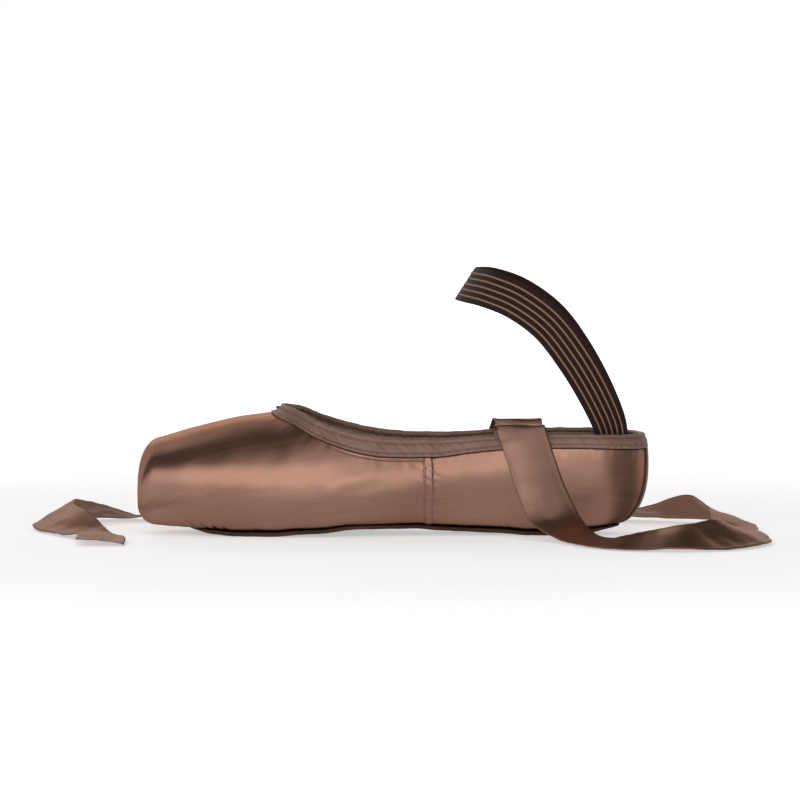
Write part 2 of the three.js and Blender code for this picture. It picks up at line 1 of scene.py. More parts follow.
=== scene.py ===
"""A brown satin pointe shoe, empty on its sole, its elastic standing and its ribbons on the floor.

Sizes are millimetres in the shoe's own frame: the toe towards -Y, the heel towards +Y, the floor
at Z = 0. They become metres when a mesh is made.
"""

import math

import bpy
import numpy as np
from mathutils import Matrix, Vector
from mathutils.kdtree import KDTree


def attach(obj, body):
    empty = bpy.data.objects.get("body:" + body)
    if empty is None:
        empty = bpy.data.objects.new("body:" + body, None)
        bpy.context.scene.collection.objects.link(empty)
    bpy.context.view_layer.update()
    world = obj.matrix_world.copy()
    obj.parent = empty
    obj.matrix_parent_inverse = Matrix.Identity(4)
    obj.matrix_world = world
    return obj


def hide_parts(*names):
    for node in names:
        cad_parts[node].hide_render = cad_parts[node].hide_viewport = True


MM = 0.001
QUARTER_TURN = math.pi / 2

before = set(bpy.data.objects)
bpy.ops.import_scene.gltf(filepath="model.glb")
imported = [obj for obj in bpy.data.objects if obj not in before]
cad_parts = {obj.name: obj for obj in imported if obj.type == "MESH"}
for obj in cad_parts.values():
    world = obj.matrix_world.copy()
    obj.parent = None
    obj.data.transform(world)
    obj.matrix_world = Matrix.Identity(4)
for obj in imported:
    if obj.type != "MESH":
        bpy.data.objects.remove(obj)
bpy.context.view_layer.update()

# ---- Driving sizes, the same as the frame's ----

SHOE_LENGTH = 236
TOE_Y = -SHOE_LENGTH / 2
HEEL_Y = SHOE_LENGTH / 2
HEEL_RADIUS = 28
HEEL_CENTRE_Y = HEEL_Y - HEEL_RADIUS
GAP = 0.3

RIM_DEPTH = 7.5
RIM_SIDE = 5
RIM_TOP = 10
RIM_BOTTOM = 6.5

QUARTER_WALL = 1.8
BOX_WALL = 3
BOX_FRONT_Y = -95
BOX_END_Y = -62
SATIN_LAYER = 0.9
LINING_GAP = 0.1

THROAT_Y = -56
OPENING_FRONT_Y = -86
OPENING_ROUND = 16
OPENING_MARGIN = 1

SOLE_THICKNESS = 2
SOLE_FRONT_THICKNESS = 1.2
SOLE_MARGIN = 3
SOLE_FRONT_Y = -95
SOLE_ROUND = 14
SOLE_SKIVE = 12

INSOLE_THICKNESS = 1.6
INSOLE_MARGIN = 2
INSOLE_FRONT_Y = -106
INSOLE_ROUND = 12

BINDING_GAP = 0.55
ELASTIC_WIDTH = 17.5
RIBBON_WIDTH = 22
RIBBON_LENGTH = 450
RIBBON_THICKNESS = 0.8
FLOOR_CLEARANCE = 0.1


def table(names, *rows):
    """A table with named columns, as one array for each column."""
    return dict(zip(names.split(), np.array(rows, float).T))


LAST = table(
    "y half flat bottom widest ridge square",
    (-118, 24.6, 13, 6.2, 22, 42.0, 2.3),
    (-112, 26.2, 14, 5.2, 22, 43.9, 2.3),
    (-105, 28.6, 15.5, 4.6, 21.5, 45.9, 2.25),
    (-95, 31.7, 17.5, 4.1, 21, 48.9, 2.2),
    (-82, 34.9, 20.5, 3.1, 20, 52.1, 2.15),
    (-73, 36.7, 22.5, 2.3, 19.5, 54.2, 2.1),
    (-54, 39.4, 25, 2.3, 19, 56.8, 2.05),
    (-45, 40.2, 25.5, 3.1, 19.5, 58.4, 2.05),
    (-31, 40.5, 25, 3.9, 20, 60.5, 2.05),
    (-17, 38.6, 21, 5.4, 21.5, 61.5, 2.1),
    (0, 35, 15.5, 5.4, 23.5, 62.5, 2.1),
    (11, 32.8, 13, 5.4, 25, 63, 2.1),
    (20, 31.4, 12, 4.6, 26, 63.5, 2.1),
    (34, 30, 11.5, 3.9, 27.5, 65.5, 2.1),
    (53, 29, 11.5, 3.1, 29.5, 69, 2.1),
    (62, 28.6, 12, 2.3, 30.5, 71, 2.15),
    (76, 28.2, 12, 2.3, 31.5, 74, 2.2),
    (90, 28, 12, 3.3, 32, 75, 2.2),
    (102, 28, 12, 5, 32, 75, 2.2),
    (118, 28, 12, 6.4, 32, 75, 2.2),
)

# Where satin meets the drawstring casing, how tall the casing is and how far it leans in.
COLLAR = table(
    "y edge tall lean",
    (-56, 56.6, 7.2, 52),
    (-52, 54.9, 7.2, 40),
    (-45, 52.4, 7.3, 28),
    (-35, 47.3, 7.4, 20),
    (-25, 43.5, 7.6, 15),
    (-15, 40.6, 7.8, 12),
    (-4, 38.8, 7.8, 11),
    (6, 38.4, 7.3, 11),
    (19, 38.4, 7.2, 11),
    (38, 40.6, 5.6, 11),
    (61, 42.4, 5.2, 11),
    (85, 42.6, 4.9, 12),
    (118, 41.3, 5.5, 14),
)

# Half of the ankle elastic, from its sewn end up to the front of the ankle.
ELASTIC = table(
    "x y z facing tilt",
    (18.7, 102.6, 32, 34, 0),
    (18.4, 102.4, 38, 34, 0),
    (17.4, 101.7, 45, 34, 0),
    (17.9, 100.6, 51, 33, 0),
    (23.4, 94.6, 65, 25, 2),
    (29.8, 84.3, 83, 14, 4),
    (33.2, 72, 99, 2, 6),
    (32, 57.5, 109.5, -18, 12),
    (24.5, 44.5, 114.5, -46, 22),
    (12, 36, 116, -72, 30),
    (0, 33.5, 116.2, -90, 33),
)

# Each ribbon from its sewn end, up over the collar and down to the floor. drift is how far it
# leans as it falls: the +X ribbon towards the heel, the -X one towards the toe. lift turns it on
# its own length, in degrees.
RIBBON_Y = 58
RIBBON_DROP = table(
    "x z drift lift",
    (24.2, 24, 0, 0),
    (24.1, 32, 0, 0),
    (23.6, 40, 0, 0),
    (22.6, 46.5, 0, 0),
    (23.2, 50.2, 0.2, 0),
    (25.8, 51.8, 0.8, 0),
    (28.8, 50.2, 1.7, 2),
    (30.8, 46, 3.1, 6),
    (32.8, 38, 5.8, 11),
    (34.6, 28, 9.2, 12),
    (37.3, 18, 13.2, 8),
    (42, 9.2, 18.4, 3),
    (50, 3.6, 25, 0),
)

# Where each ribbon lies on the floor, and how far it is turned up on edge, in degrees.
RIBBON_INNER_FLOOR = table(
    "x y lift",
    (63, 91, -2),
    (80, 99, -8),
    (94, 114, -18),
    (97, 136, -28),
    (84, 155, -30),
    (61, 163, -18),
    (36, 162, -4),
    (11, 158, 4),
    (-14, 159, -10),
    (-39, 156, -26),
    (-60, 142, -34),
    (-70, 119, -20),
    (-78, 95, 4),
    (-95, 77, 12),
    (-124, 69, 4),
)
RIBBON_OUTER_FLOOR = table(
    "x y lift",
    (-63, 25, -2),
    (-80, 12, -12),
    (-91, -9, -24),
    (-89, -35, -26),
    (-77, -59, -8),
    (-68, -84, 8),
    (-69, -110, 10),
    (-68, -135, -8),
    (-51, -154, -28),
    (-25, -161, -34),
    (1, -156, -26),
    (24, -144, -8),
    (47, -133, 4),
    (81, -130, 6),
)

# ---- Curves through the tables ----


def column_curve(rows, name):
    """A curve through one column of a table that never swings past its rows."""
    places, values = rows["y"], rows[name]
    secants = np.diff(values) / np.diff(places)
    product = secants[:-1] * secants[1:]
    total = np.where(product > 0, secants[:-1] + secants[1:], 1)
    middle = np.where(product > 0, 2 * product / total, 0)
    slopes = np.concatenate([secants[:1], middle, secants[-1:]])

    def curve(y):
        at = np.clip(y, places[0], places[-1])
        i = np.clip(np.searchsorted(places, at) - 1, 0, len(places) - 2)
        span = places[i + 1] - places[i]
        t = (at - places[i]) / span
        rise = (3 - 2 * t) * t * t
        lead = t * (1 - t) ** 2 * slopes[i] - t * t * (1 - t) * slopes[i + 1]
        return values[i] * (1 - rise) + values[i + 1] * rise + span * lead

    return curve


last_curves = {name: column_curve(LAST, name) for name in LAST if name != "y"}
collar_curves = {name: column_curve(COLLAR, name) for name in COLLAR if name != "y"}


def smoothstep(value, low, high):
    """0 up to low, 1 from high on, and an even rise between."""
    share = np.clip((value - low) / (high - low), 0, 1)
    return share * share * (3 - 2 * share)


def mix(start, end, share):
    return start + (end - start) * share


def bump(value, centre, width):
    """A soft hill of height 1 at centre, about twice width across."""
    return np.exp(-(((value - centre) / width) ** 2))


def rounded_end(distance, depth):
    share = np.clip(1 - distance / depth, 0, 1)
    return np.sqrt(1 - share * share)


def wall_thickness(y):
    return mix(BOX_WALL, QUARTER_WALL, smoothstep(y, BOX_FRONT_Y, BOX_END_Y))


def unit(vectors):
    return vectors / np.maximum(np.linalg.norm(vectors, axis=-1, keepdims=True), 1e-9)


def run_along(points):
    """How far along a line of points each of them is."""
    return np.concatenate([[0], np.cumsum(np.linalg.norm(np.diff(points, axis=0), axis=1))])


def at_places(places, reach, rows):
    """Rows of three numbers, known at a reach each, at other places."""
    return np.stack([np.interp(places, reach, rows[:, axis]) for axis in range(3)], -1)


def waves(points, wave):
    """A smooth, uneven field over points. wave is its height, the pitch of its hills and its
    seed."""
    height, pitch, seed = wave
    chance = np.random.default_rng(seed)
    total = np.zeros(points.shape[:-1])
    for _ in range(7):
        direction = unit(chance.normal(size=points.shape[-1]))
        length = pitch * chance.uniform(0.7, 1.6)
        total += np.sin(points @ direction * (2 * math.pi / length) + chance.uniform(0, 2 * math.pi))
    return height * total / 3


# ---- The last ----


def section_at(y, turn):
    """The last's section in a plane across the shoe, or fanned by turn round the heel's centre."""
    along = y + HEEL_RADIUS * np.sin(turn)
    rim = 1 - rounded_end(y - TOE_Y, RIM_DEPTH)
    flat = last_curves["flat"](along)
    return {
        "half": last_curves["half"](along) - RIM_SIDE * rim,
        "flat": flat,
        "bottom": last_curves["bottom"](y + flat * np.sin(turn)) + RIM_BOTTOM * rim,
        "widest": last_curves["widest"](along),
        "ridge": last_curves["ridge"](along) - RIM_TOP * rim,
        "square": last_curves["square"](along),
        "collar": collar_curves["edge"](along),
    }


def in_station(y, turn, out, height):
    """Points at a distance out from the middle of their section plane."""
    return np.stack(np.broadcast_arrays(out * np.cos(turn), y + out * np.sin(turn), height), -1)


def side_point(y, turn, angle):
    """The last's side, from -90 degrees at its flat bottom's edge to 90 degrees at the ridge."""
    section = section_at(y, turn)
    power = 2 / section["square"]
    below = angle < 0
    inset = np.where(below, section["flat"], 0)
    height = np.where(below, section["widest"] - section["bottom"], section["ridge"] - section["widest"])
    out = inset + (section["half"] - inset) * np.clip(np.cos(angle), 0, 1) ** power
    rise = np.sign(angle) * height * np.abs(np.sin(angle)) ** power
    return in_station(y, turn, out, section["widest"] + rise)


def collar_angle(y, turn):
    """The side angle at which the satin ends: the ridge in front of the throat, then the collar."""
    section = section_at(y, turn)
    share = (section["collar"] - section["widest"]) / (section["ridge"] - section["widest"])
    angle = np.arcsin(np.clip(share, 0, 1) ** (section["square"] / 2))
    return np.where(y <= THROAT_Y, QUARTER_TURN, angle)


def underside_height(x, y):
    """Height of the last's underside over a point of the floor."""
    behind = np.maximum(0, y - HEEL_CENTRE_Y)
    out = np.hypot(x, behind)
    turn = np.arcsin(np.clip(behind / np.maximum(out, 1e-9), 0, 1))
    section = section_at(np.minimum(y, HEEL_CENTRE_Y), turn)
    reach = np.clip((out - section["flat"]) / (section["half"] - section["flat"]), 0, 1)
    drop = (1 - reach ** section["square"]) ** (1 / section["square"])
    curved = section["widest"] - (section["widest"] - section["bottom"]) * drop
    return np.where(out <= section["flat"], last_curves["bottom"](y), curved)


def plate_half(y, front, front_round, margin):
    """Half width of a piece that is wider than the last's flat bottom by a margin."""
    full = last_curves["flat"](y) + margin
    round_back = np.sqrt(np.maximum(0, full**2 - np.maximum(0, y - HEEL_CENTRE_Y) ** 2))
    return np.where(y > HEEL_CENTRE_Y, round_back, full * rounded_end(np.maximum(0, y - front), front_round))


def opening_half(y):
    return plate_half(y, OPENING_FRONT_Y, OPENING_ROUND, -OPENING_MARGIN)


# ---- Meshes ----

WELD_STEP = 1e-3


def mesh_object(name, points, faces, corner_uv=None):
    """A smooth mesh piece from points in millimetres, with one UV, also in millimetres, a corner."""
    mesh = bpy.data.meshes.new(name)
    mesh.from_pydata((np.asarray(points) * MM).tolist(), [], faces)
    mesh.shade_smooth()
    if corner_uv is not None:
        layer = mesh.uv_layers.new(name="Cloth")
        layer.uv.foreach_set("vector", np.asarray(corner_uv, np.float32).ravel())
    piece = bpy.data.objects.new(name, mesh)
    bpy.context.scene.collection.objects.link(piece)
    return piece


def grid_faces(rows, columns, start=0, flipped=False, closed=False, looped=False):
    """Four-sided faces of a grid of points, numbered along its rows. Closed, the last column meets
    the first one, and looped, the last row meets the first one."""
    number = start + np.arange(rows * columns).reshape(rows, columns)
    if looped:
        number = np.concatenate([number, number[:1]])
    if closed:
        number = np.concatenate([number, number[:, :1]], 1)
    corners = [number[:-1, :-1], number[1:, :-1], number[1:, 1:], number[:-1, 1:]]
    faces = np.stack(corners, -1).reshape(-1, 4)
    return (faces[:, ::-1] if flipped else faces).tolist()


def grid_uv(faces, along, across):
    """The cloth's place at each corner of a grid's faces, from a place for each row and column."""
    row_of, column_of = np.divmod(faces, len(across))
    return np.stack([along[row_of], across[column_of]], -1).reshape(-1, 2)


def weld(points, faces):
    """Joins points that coincide. Gives the kept points' numbers, the faces over them, and the
    old number of each face corner."""
    keys = np.round(points / WELD_STEP).astype(np.int64)
    _, kept, new = np.unique(keys, axis=0, return_index=True, return_inverse=True)
    new = new.ravel().tolist()
    welded, corners = [], []
    for face in faces:
        numbers = [new[i] for i in face]
        keep = [k for k in range(len(face)) if numbers[k] != numbers[k - 1]]
        if len(keep) > 2:
            welded.append([numbers[k] for k in keep])
            corners.extend(face[k] for k in keep)
    return kept, welded, corners


CORD_SIDES = 8
# A direction that no cord runs in at its start.
ASLANT = (0.3, 0.5, 0.81)


def cord_ring(name, path, radius):
    """A round cord of an even radius along a closed path of points."""
    ahead = unit(np.roll(path, -1, 0) - np.roll(path, 1, 0))
    side = unit(np.cross(ahead[0], ASLANT))
    turns = np.linspace(0, 2 * math.pi, CORD_SIDES, endpoint=False)
    points = []
    for middle, tangent in zip(path, ahead):
        side = unit(side - tangent * (side @ tangent))
        other = np.cross(tangent, side)
        ring = np.outer(np.cos(turns), side) + np.outer(np.sin(turns), other)
        points.append(middle + ring * radius)
    faces = grid_faces(len(path), CORD_SIDES, flipped=True, closed=True, looped=True)
    return mesh_object(name, np.concatenate(points), faces)


# ---- Stations of the fine surface ----

# Fine steps come in threes, so that a layer's hidden side can be three times coarser.
COARSE = 3
LOWER_STEPS = 18 * COARSE
TOP_STEPS = 18 * COARSE
PLATFORM_RINGS = 5 * COARSE
FAN_STEPS = 26 * COARSE
SEAM_Y = 17.3
SEAM_HALF = 1.9


def in_threes(count):
    return COARSE * max(1, round(count / COARSE))


# The distance between stations, and how much less it is over the pleats and at the side seam.
WIDE_STEP = 0.85
PLEATS_LESS = 0.3
SEAM_LESS = 0.52
PLEATS_Y = -92


def body_step(y):
    """Distance between stations: closer over the pleats and at the side seam."""
    return WIDE_STEP - PLEATS_LESS * bump(y, PLEATS_Y, 22) - SEAM_LESS * bump(y, SEAM_Y, 5.5)


def spaced(start, end):
    """Places after start, up to end, about body_step apart."""
    fine = np.linspace(start, end, 2000)
    steps = np.concatenate([[0], np.cumsum(np.diff(fine) / body_step(fine[:-1]))])
    count = in_threes(steps[-1])
    return np.interp(np.linspace(0, steps[-1], count + 1)[1:], steps, fine)


THROAT_LENGTH = 8.4
# How far the fan round the heel opens faster at its start, as a share of its turn.
FAN_LEAD = 0.12


def upper_stations():
    """Section places and turns from the toe's rim, round the heel, to the back seam."""
    rim = TOE_Y + RIM_DEPTH * (1 - np.cos(np.linspace(0, QUARTER_TURN, 4 * COARSE + 1)))
    throat = THROAT_Y + THROAT_LENGTH * np.linspace(0, 1, 5 * COARSE + 1)[1:] ** 2
    across = np.concatenate([
        rim,
        spaced(rim[-1], OPENING_FRONT_Y),
        spaced(OPENING_FRONT_Y, THROAT_Y),
        throat,
        spaced(throat[-1], HEEL_CENTRE_Y),
    ])
    share = np.linspace(0, 1, FAN_STEPS + 1)[1:]
    fan = QUARTER_TURN * (share + FAN_LEAD * np.sin(math.pi * share))
    y = np.concatenate([across, np.full(len(fan), HEEL_CENTRE_Y)])
    turn = np.concatenate([np.zeros(len(across)), fan])
    return y, turn


# Behind the throat the columns still run on towards the ridge, less and less up to this place.
RIDGE_FADE_Y = -10
# Places at which the flat bottom and the curves below and above the widest line are worked out.
FLAT_SAMPLES = 20
SAMPLES = 90


def section_paths(y, turn, lower_steps, top_steps):
    """Points up each section, from the middle of the flat bottom past the satin's upper edge, in
    even steps to the widest line and even steps above it. Also how far round each is above that
    line, and how far round the hole's edge and the satin's upper edge are."""
    section = section_at(y, turn)
    outs = section["flat"][:, None] * np.linspace(0, 1, FLAT_SAMPLES)
    flat = in_station(y[:, None], turn[:, None], outs, section["bottom"][:, None])
    lower = np.linspace(-QUARTER_TURN, 0, SAMPLES)[None, 1:]
    collar = collar_angle(y, turn)
    last_angle = mix(QUARTER_TURN, collar, smoothstep(y, THROAT_Y, RIDGE_FADE_Y))
    top = last_angle[:, None] * np.linspace(0, 1, SAMPLES)[None, 1:]
    sides = [side_point(y[:, None], turn[:, None], angles) for angles in (lower, top)]
    fine = np.concatenate([flat, *sides], 1)
    lengths = np.linalg.norm(np.diff(fine, axis=1), axis=2)
    climbed = np.concatenate([np.zeros((len(y), 1)), np.cumsum(lengths, 1)], 1)
    first_top = flat.shape[1] + lower.shape[1]
    widest = climbed[:, first_top - 1][:, None]
    below = widest * np.linspace(0, 1, lower_steps + 1)
    above = mix(widest, climbed[:, -1:], np.linspace(0, 1, top_steps + 1)[1:])
    places = np.concatenate([below, above], 1)
    points = np.stack([at_places(*section) for section in zip(places, climbed, fine)])
    hole = np.where(turn > 0, section["flat"] - OPENING_MARGIN, opening_half(y))
    edge = [np.interp(collar[i], top[i], climbed[i, first_top:]) for i in range(len(y))]
    return points, places - widest, hole[:, None] - widest, np.array(edge)[:, None] - widest


def trim(y, turn, points, normals, climb, low, high):
    """Draws the columns that would cross the hole, or run past the satin's upper edge, together
    at that edge."""
    section = section_at(y, turn)
    hole = in_station(y, turn, low[:, 0] - climb[:, 0], section["bottom"])
    edge = side_point(y, turn, collar_angle(y, turn))
    kept = np.clip(climb, low, high)
    normals = np.stack([at_places(*row) for row in zip(kept, climb, normals)])
    points = np.where((climb < low)[..., None], hole[:, None], points)
    points = np.where((climb > high)[..., None], edge[:, None], points)
    return points, normals, kept


def last_surface(lower_steps, top_steps, coarse=1):
    """The +X half of the last's skin from the middle of the toe's platform to the back of the
    heel: points, outward normals, distances along the shoe, and places in the cloth. The vamp's
    threads follow its ridge, and the quarter's follow its widest line."""
    y, turn = upper_stations()
    y, turn = y[::coarse], turn[::coarse]
    points, climb, low, high = section_paths(y, turn, lower_steps, top_steps)
    rings = PLATFORM_RINGS // coarse
    share = np.linspace(0, 1, rings)[:, None, None]
    middle = np.array([0, TOE_Y, last_curves["widest"](TOE_Y)])
    platform = mix(middle, points[:1], share)
    whole = np.concatenate([platform, points])
    normals = unit(np.cross(np.gradient(whole, axis=0), np.gradient(whole, axis=1)))
    normals[: rings + 1] = [0, -1, 0]
    points, behind_rim, climb = trim(y, turn, points, normals[rings:], climb, low, high)
    points[y <= THROAT_Y, -1, 0] = 0
    points[-1, :, 0] = 0
    run = (y + HEEL_RADIUS * turn)[:, None] + np.zeros(points.shape[1])
    reach = np.linalg.norm(platform - points[:1], axis=2)
    arch = side_point(y[:, None], turn[:, None], np.linspace(0, QUARTER_TURN, SAMPLES)[None])
    to_ridge = np.linalg.norm(np.diff(arch, axis=1), axis=2).sum(1)[:, None]
    in_vamp = run < SEAM_Y - SEAM_HALF
    platform_cloth = np.stack([platform[..., 2] - HEEL_Y, platform[..., 0]], -1)
    vamp_cloth = np.stack([run, np.where(in_vamp, climb - to_ridge, climb)], -1)
    cloth = np.concatenate([platform_cloth, vamp_cloth])
    points = np.concatenate([platform, points])
    normals = np.concatenate([normals[:rings], behind_rim])
    normals[np.abs(points[..., 0]) < WELD_STEP, 0] = 0
    return points, unit(normals), np.concatenate([TOE_Y - reach, run]), cloth


MIRROR = np.array([-1, 1, 1])
SIDES = (np.array([1, 1, 1]), MIRROR)


def first_row(place):
    """The row of last_surface at which a stretch begins."""
    y, _ = upper_stations()
    return PLATFORM_RINGS + int(np.argmin(np.abs(y - place)))


def shell(name, halves, cloth, coarse=1):
    """A layer of the upper as one closed mesh. halves gives the fine side's grid and the hidden
    side's grid for +X and for -X. The layer is open at the collar and over the sole."""
    front, back = halves[0]
    rows, columns = front.shape[:2]
    back_rows, back_columns = back.shape[:2]
    step = (rows - 1) // (back_rows - 1)
    first_back = rows * columns
    faces = grid_faces(rows, columns)
    faces += grid_faces(back_rows, back_columns, first_back, flipped=True)
    edges = [(0, 0, OPENING_FRONT_Y), (columns - 1, back_columns - 1, THROAT_Y)]
    for outer, inner, place in edges:
        for i in range(first_row(place) // coarse, rows - 1, step):
            fine = [(i + k) * columns + outer for k in range(step + 1)]
            low = first_back + (i // step) * back_columns + inner
            face = fine + [low + back_columns, low]
            faces.append(face if outer else face[::-1])
    count = first_back + back_rows * back_columns
    faces += [[i + count for i in face[::-1]] for face in faces]
    points = np.concatenate([grid.reshape(-1, 3) for half in halves for grid in half])
    unused = np.zeros((count - first_back, 2))
    uv = np.tile(np.concatenate([cloth.reshape(-1, 2), unused]), (2, 1))
    kept, welded, corners = weld(points, faces)
    return mesh_object(name, points[kept], welded, uv[corners]), kept


def joined(pieces):
    """Several meshes as one piece, which keeps the first one's name."""
    with bpy.context.temp_override(active_object=pieces[0], selected_editable_objects=pieces):
        bpy.ops.object.join()
    return pieces[0]


def set_mask(piece, name, values):
    """Stores one number a point, for the piece's material."""
    layer = piece.data.attributes.new(name, "FLOAT", "POINT")
    layer.data.foreach_set("value", values.astype(np.float32))


# ---- Lines on the last ----


def closed_line(half_line):
    """Both sides of a line whose +X half runs from the front to the back of the shoe."""
    other = half_line[-2:0:-1] * MIRROR
    return np.concatenate([half_line, other])


def line_lengths(line):
    steps = np.linalg.norm(np.roll(line, -1, 0) - line, axis=1)
    return np.concatenate([[0], np.cumsum(steps)[:-1]]), steps.sum()


def collar_stations(step, near_length, near_count):
    """Even places from the throat to the heel's centre, closer together near the throat, and then
    even turns round the heel."""
    places = np.linspace(THROAT_Y, HEEL_CENTRE_Y, round((HEEL_CENTRE_Y - THROAT_Y) / step))
    turns = np.linspace(0, QUARTER_TURN, round(HEEL_RADIUS * QUARTER_TURN / step))[1:]
    near = THROAT_Y + near_length * np.linspace(0, 1, near_count) ** 2
    places = np.concatenate([near, places[places > near[-1]]])
    y = np.concatenate([places, np.full(len(turns), HEEL_CENTRE_Y)])
    return y, np.concatenate([np.zeros(len(places)), turns])


def collar_line():
    """The closed line along which satin meets the casing."""
    y, turn = collar_stations(step=0.5, near_length=3, near_count=24)
    return closed_line(side_point(y, turn, collar_angle(y, turn)))


def plate_outline(front, front_round, margin, step=0.5):
    """Half the outline of a flat piece from front to back: its half widths and places."""
    back = HEEL_CENTRE_Y + last_curves["flat"](HEEL_Y) + margin
    fine = np.linspace(0, QUARTER_TURN, 60)
    nose = front + front_round * (1 - np.cos(fine))
    tail = HEEL_CENTRE_Y + (back - HEEL_CENTRE_Y) * np.sin(fine)
    middle = np.arange(nose[-1] + step, HEEL_CENTRE_Y, step)
    y = np.concatenate([nose, middle, tail])
    half = plate_half(y, front, front_round, margin)
    half[[0, -1]] = 0
    reach = run_along(np.stack([half, y], 1))
    even = np.linspace(0, reach[-1], round(reach[-1] / step))
    return np.interp(even, reach, half), np.interp(even, reach, y)


def sole_line():
    """The closed line of the sole's edge against the satin."""
    half, y = plate_outline(SOLE_FRONT_Y, SOLE_ROUND, SOLE_MARGIN)
    return closed_line(np.stack([half, y, underside_height(half, y)], 1))


def nearest(points, line):
    """For each point, its distance from a closed line and how far round the line it is."""
    tree = KDTree(len(line))
    for i, place in enumerate(line):
        tree.insert(place, i)
    tree.balance()
    lengths, _ = line_lengths(line)
    found = [tree.find(point)[1:] for point in points.reshape(-1, 3)]
    number, distance = np.array(found).T
    shape = points.shape[:-1]
    return distance.reshape(shape), lengths[number.astype(int)].reshape(shape)


def ripples(along, length, wave):
    """Uneven waves round a closed line of a length. wave is their height, pitch and seed."""
    height, pitch, seed = wave
    chance = np.random.default_rng(seed)
    total = np.zeros(np.shape(along))
    for _ in range(5):
        count = round(length / (pitch * chance.uniform(0.7, 1.5)))
        total += np.sin(2 * math.pi * (count * along / length + chance.uniform()))
    return height * total / 2.5


# ---- The upper's relief: how far cloth stands off the last, in millimetres ----

# Soft creases on each side. Each runs between two places, given by the distance along the shoe and
# the height, and is a trough where its depth is below 0.
CREASES = table(
    "side run0 z0 run1 z1 width depth",
    (1, 24, 11, 56, 19, 4.5, -0.55),
    (1, 26, 28, 74, 30, 7, 0.5),
    (1, 60, 9, 92, 11, 4, 0.3),
    (1, 106, 22, 108, 38, 7, -0.6),
    (1, -30, 15, -4, 26, 5, -0.4),
    (1, -18, 8, 8, 17, 3.5, 0.3),
    (1, -92, 17, -60, 17, 5, -0.35),
    (1, -80, 9, -50, 10, 4, 0.25),
    (-1, 30, 14, 70, 17, 5, -0.5),
    (-1, 34, 29, 80, 27, 7, 0.45),
    (-1, 104, 20, 109, 37, 7, -0.55),
    (-1, -34, 24, -6, 14, 5, -0.5),
    (-1, -20, 28, 6, 21, 4, 0.3),
    (-1, -90, 19, -64, 15, 5, -0.3),
)

# The shares of its length over which a crease begins and ends, and the distances from the shoe's
# middle between which all creases fade out.
CREASE_START = (-0.25, 0.35)
CREASE_END = (0.65, 1.25)
CREASED_HALF = (4, 12)
# Uneven waves of the satin, as height, pitch and seed.
BROAD_SWELL = (0.2, 46, 1)
FINE_SWELL = (0.05, 15, 2)
GATHERS = (0.11, 6.5, 3)
# The gathers below the casing and the puckers beside the side seam, which fade with distance.
GATHER_REACH = 4.5
PUCKER_HEIGHT = 0.07
PUCKER_REACH = 2.2
PUCKER_TURNS = (0.7, 1.6)
# The side seam's raised band and the grooves beside it, under the casing and at the sole.
SEAM_HEIGHT = 0.26
SEAM_GROOVE = 0.34
GROOVE_DEPTH = 0.32
CASING_GROOVE_DEPTH = 0.3
CASING_GROOVE = (0.9, 0.5)
TUCK_DEPTH = 0.25
TUCK_REACH = 2.4
# How much painted shade each of the three puts on the satin's colour.
GROOVE_SHADE = 0.45
CASING_GROOVE_SHADE = 0.8
TUCK_SHADE = 0.8
# The strip over the back seam, with a groove and painted shade along its edge.
STRIP_TOP_HALF = 7.5
STRIP_FOOT_HALF = 11
STRIP_FOOT_Z = 4
STRIP_TOP_Z = 42
STRIP_HEIGHT = 0.45
STRIP_EDGE_DEPTH = 0.3
STRIP_EDGE_HALF = 0.35
STRIP_SHADE_WIDTH = 0.6
BACK_RUN = HEEL_CENTRE_Y + HEEL_RADIUS * QUARTER_TURN
COLLAR_LINE = collar_line()
COLLAR_LENGTH = line_lengths(COLLAR_LINE)[1]
SOLE_LINE = sole_line()
SOLE_LENGTH = line_lengths(SOLE_LINE)[1]


def crease_relief(side, run, z):
    """The listed creases of one side."""
    total = np.zeros(run.shape)
    for i in np.flatnonzero(CREASES["side"] == side):
        crease = {name: values[i] for name, values in CREASES.items()}
        ahead = np.array([crease["run1"] - crease["run0"], crease["z1"] - crease["z0"]])
        length = np.hypot(*ahead)
        across, up = run - crease["run0"], z - crease["z0"]
        share = (across * ahead[0] + up * ahead[1]) / length**2
        away = (across * ahead[1] - up * ahead[0]) / length
        ends = smoothstep(share, *CREASE_START) * (1 - smoothstep(share, *CREASE_END))
        total += crease["depth"] * ends * bump(away, 0, crease["width"])
    return total


def strip_half(z):
    """Half width of the strip that covers the back seam."""
    return mix(STRIP_FOOT_HALF, STRIP_TOP_HALF, smoothstep(z, STRIP_FOOT_Z, STRIP_TOP_Z))


# The side seam's sway as height and length of two waves.
SEAM_SWAY = ((0.3, 5.3), (0.12, 1.9))


def seam_sway(z):
    """How far the side seam, which is not quite straight, lies ahead of its place."""
    return sum(height * np.sin(z / length) for height, length in SEAM_SWAY)


# The front panel's turned edge: where it begins, and its distance from the casing and width.
CORNER_START = (-46, -18)
CORNER_LINE = (2.5, 0.45)


def corner_line(run, distance):
    """The front panel's turned edge, which leaves the side seam and follows the casing."""
    fade = smoothstep(run, *CORNER_START) * (1 - smoothstep(run, SEAM_Y - 2.4, SEAM_Y - 1.6))
    return fade * bump(distance, *CORNER_LINE)


UNDERSIDE_TOP = 14
UNDERSIDE_DEPTH = 0.12
# The pleats round the sole: their pitch, reach and depth along its sides, and round the toe.
PLEAT_PITCH = (5.2, 3.5)
PLEAT_REACH = (3.2, 10.5)
PLEAT_DEPTH = (0.16, 0.75)
PLEAT_TOE = (-84, -52)
PLEAT_WANDER = (0.9, 17, 5)
PLEAT_UNEVEN = (0.3, 9, 6)
# A pleat rises over most of its pitch and drops back at its end.
PLEAT_RISE = (0, 0.8)
PLEAT_DROP = (0.86, 1)


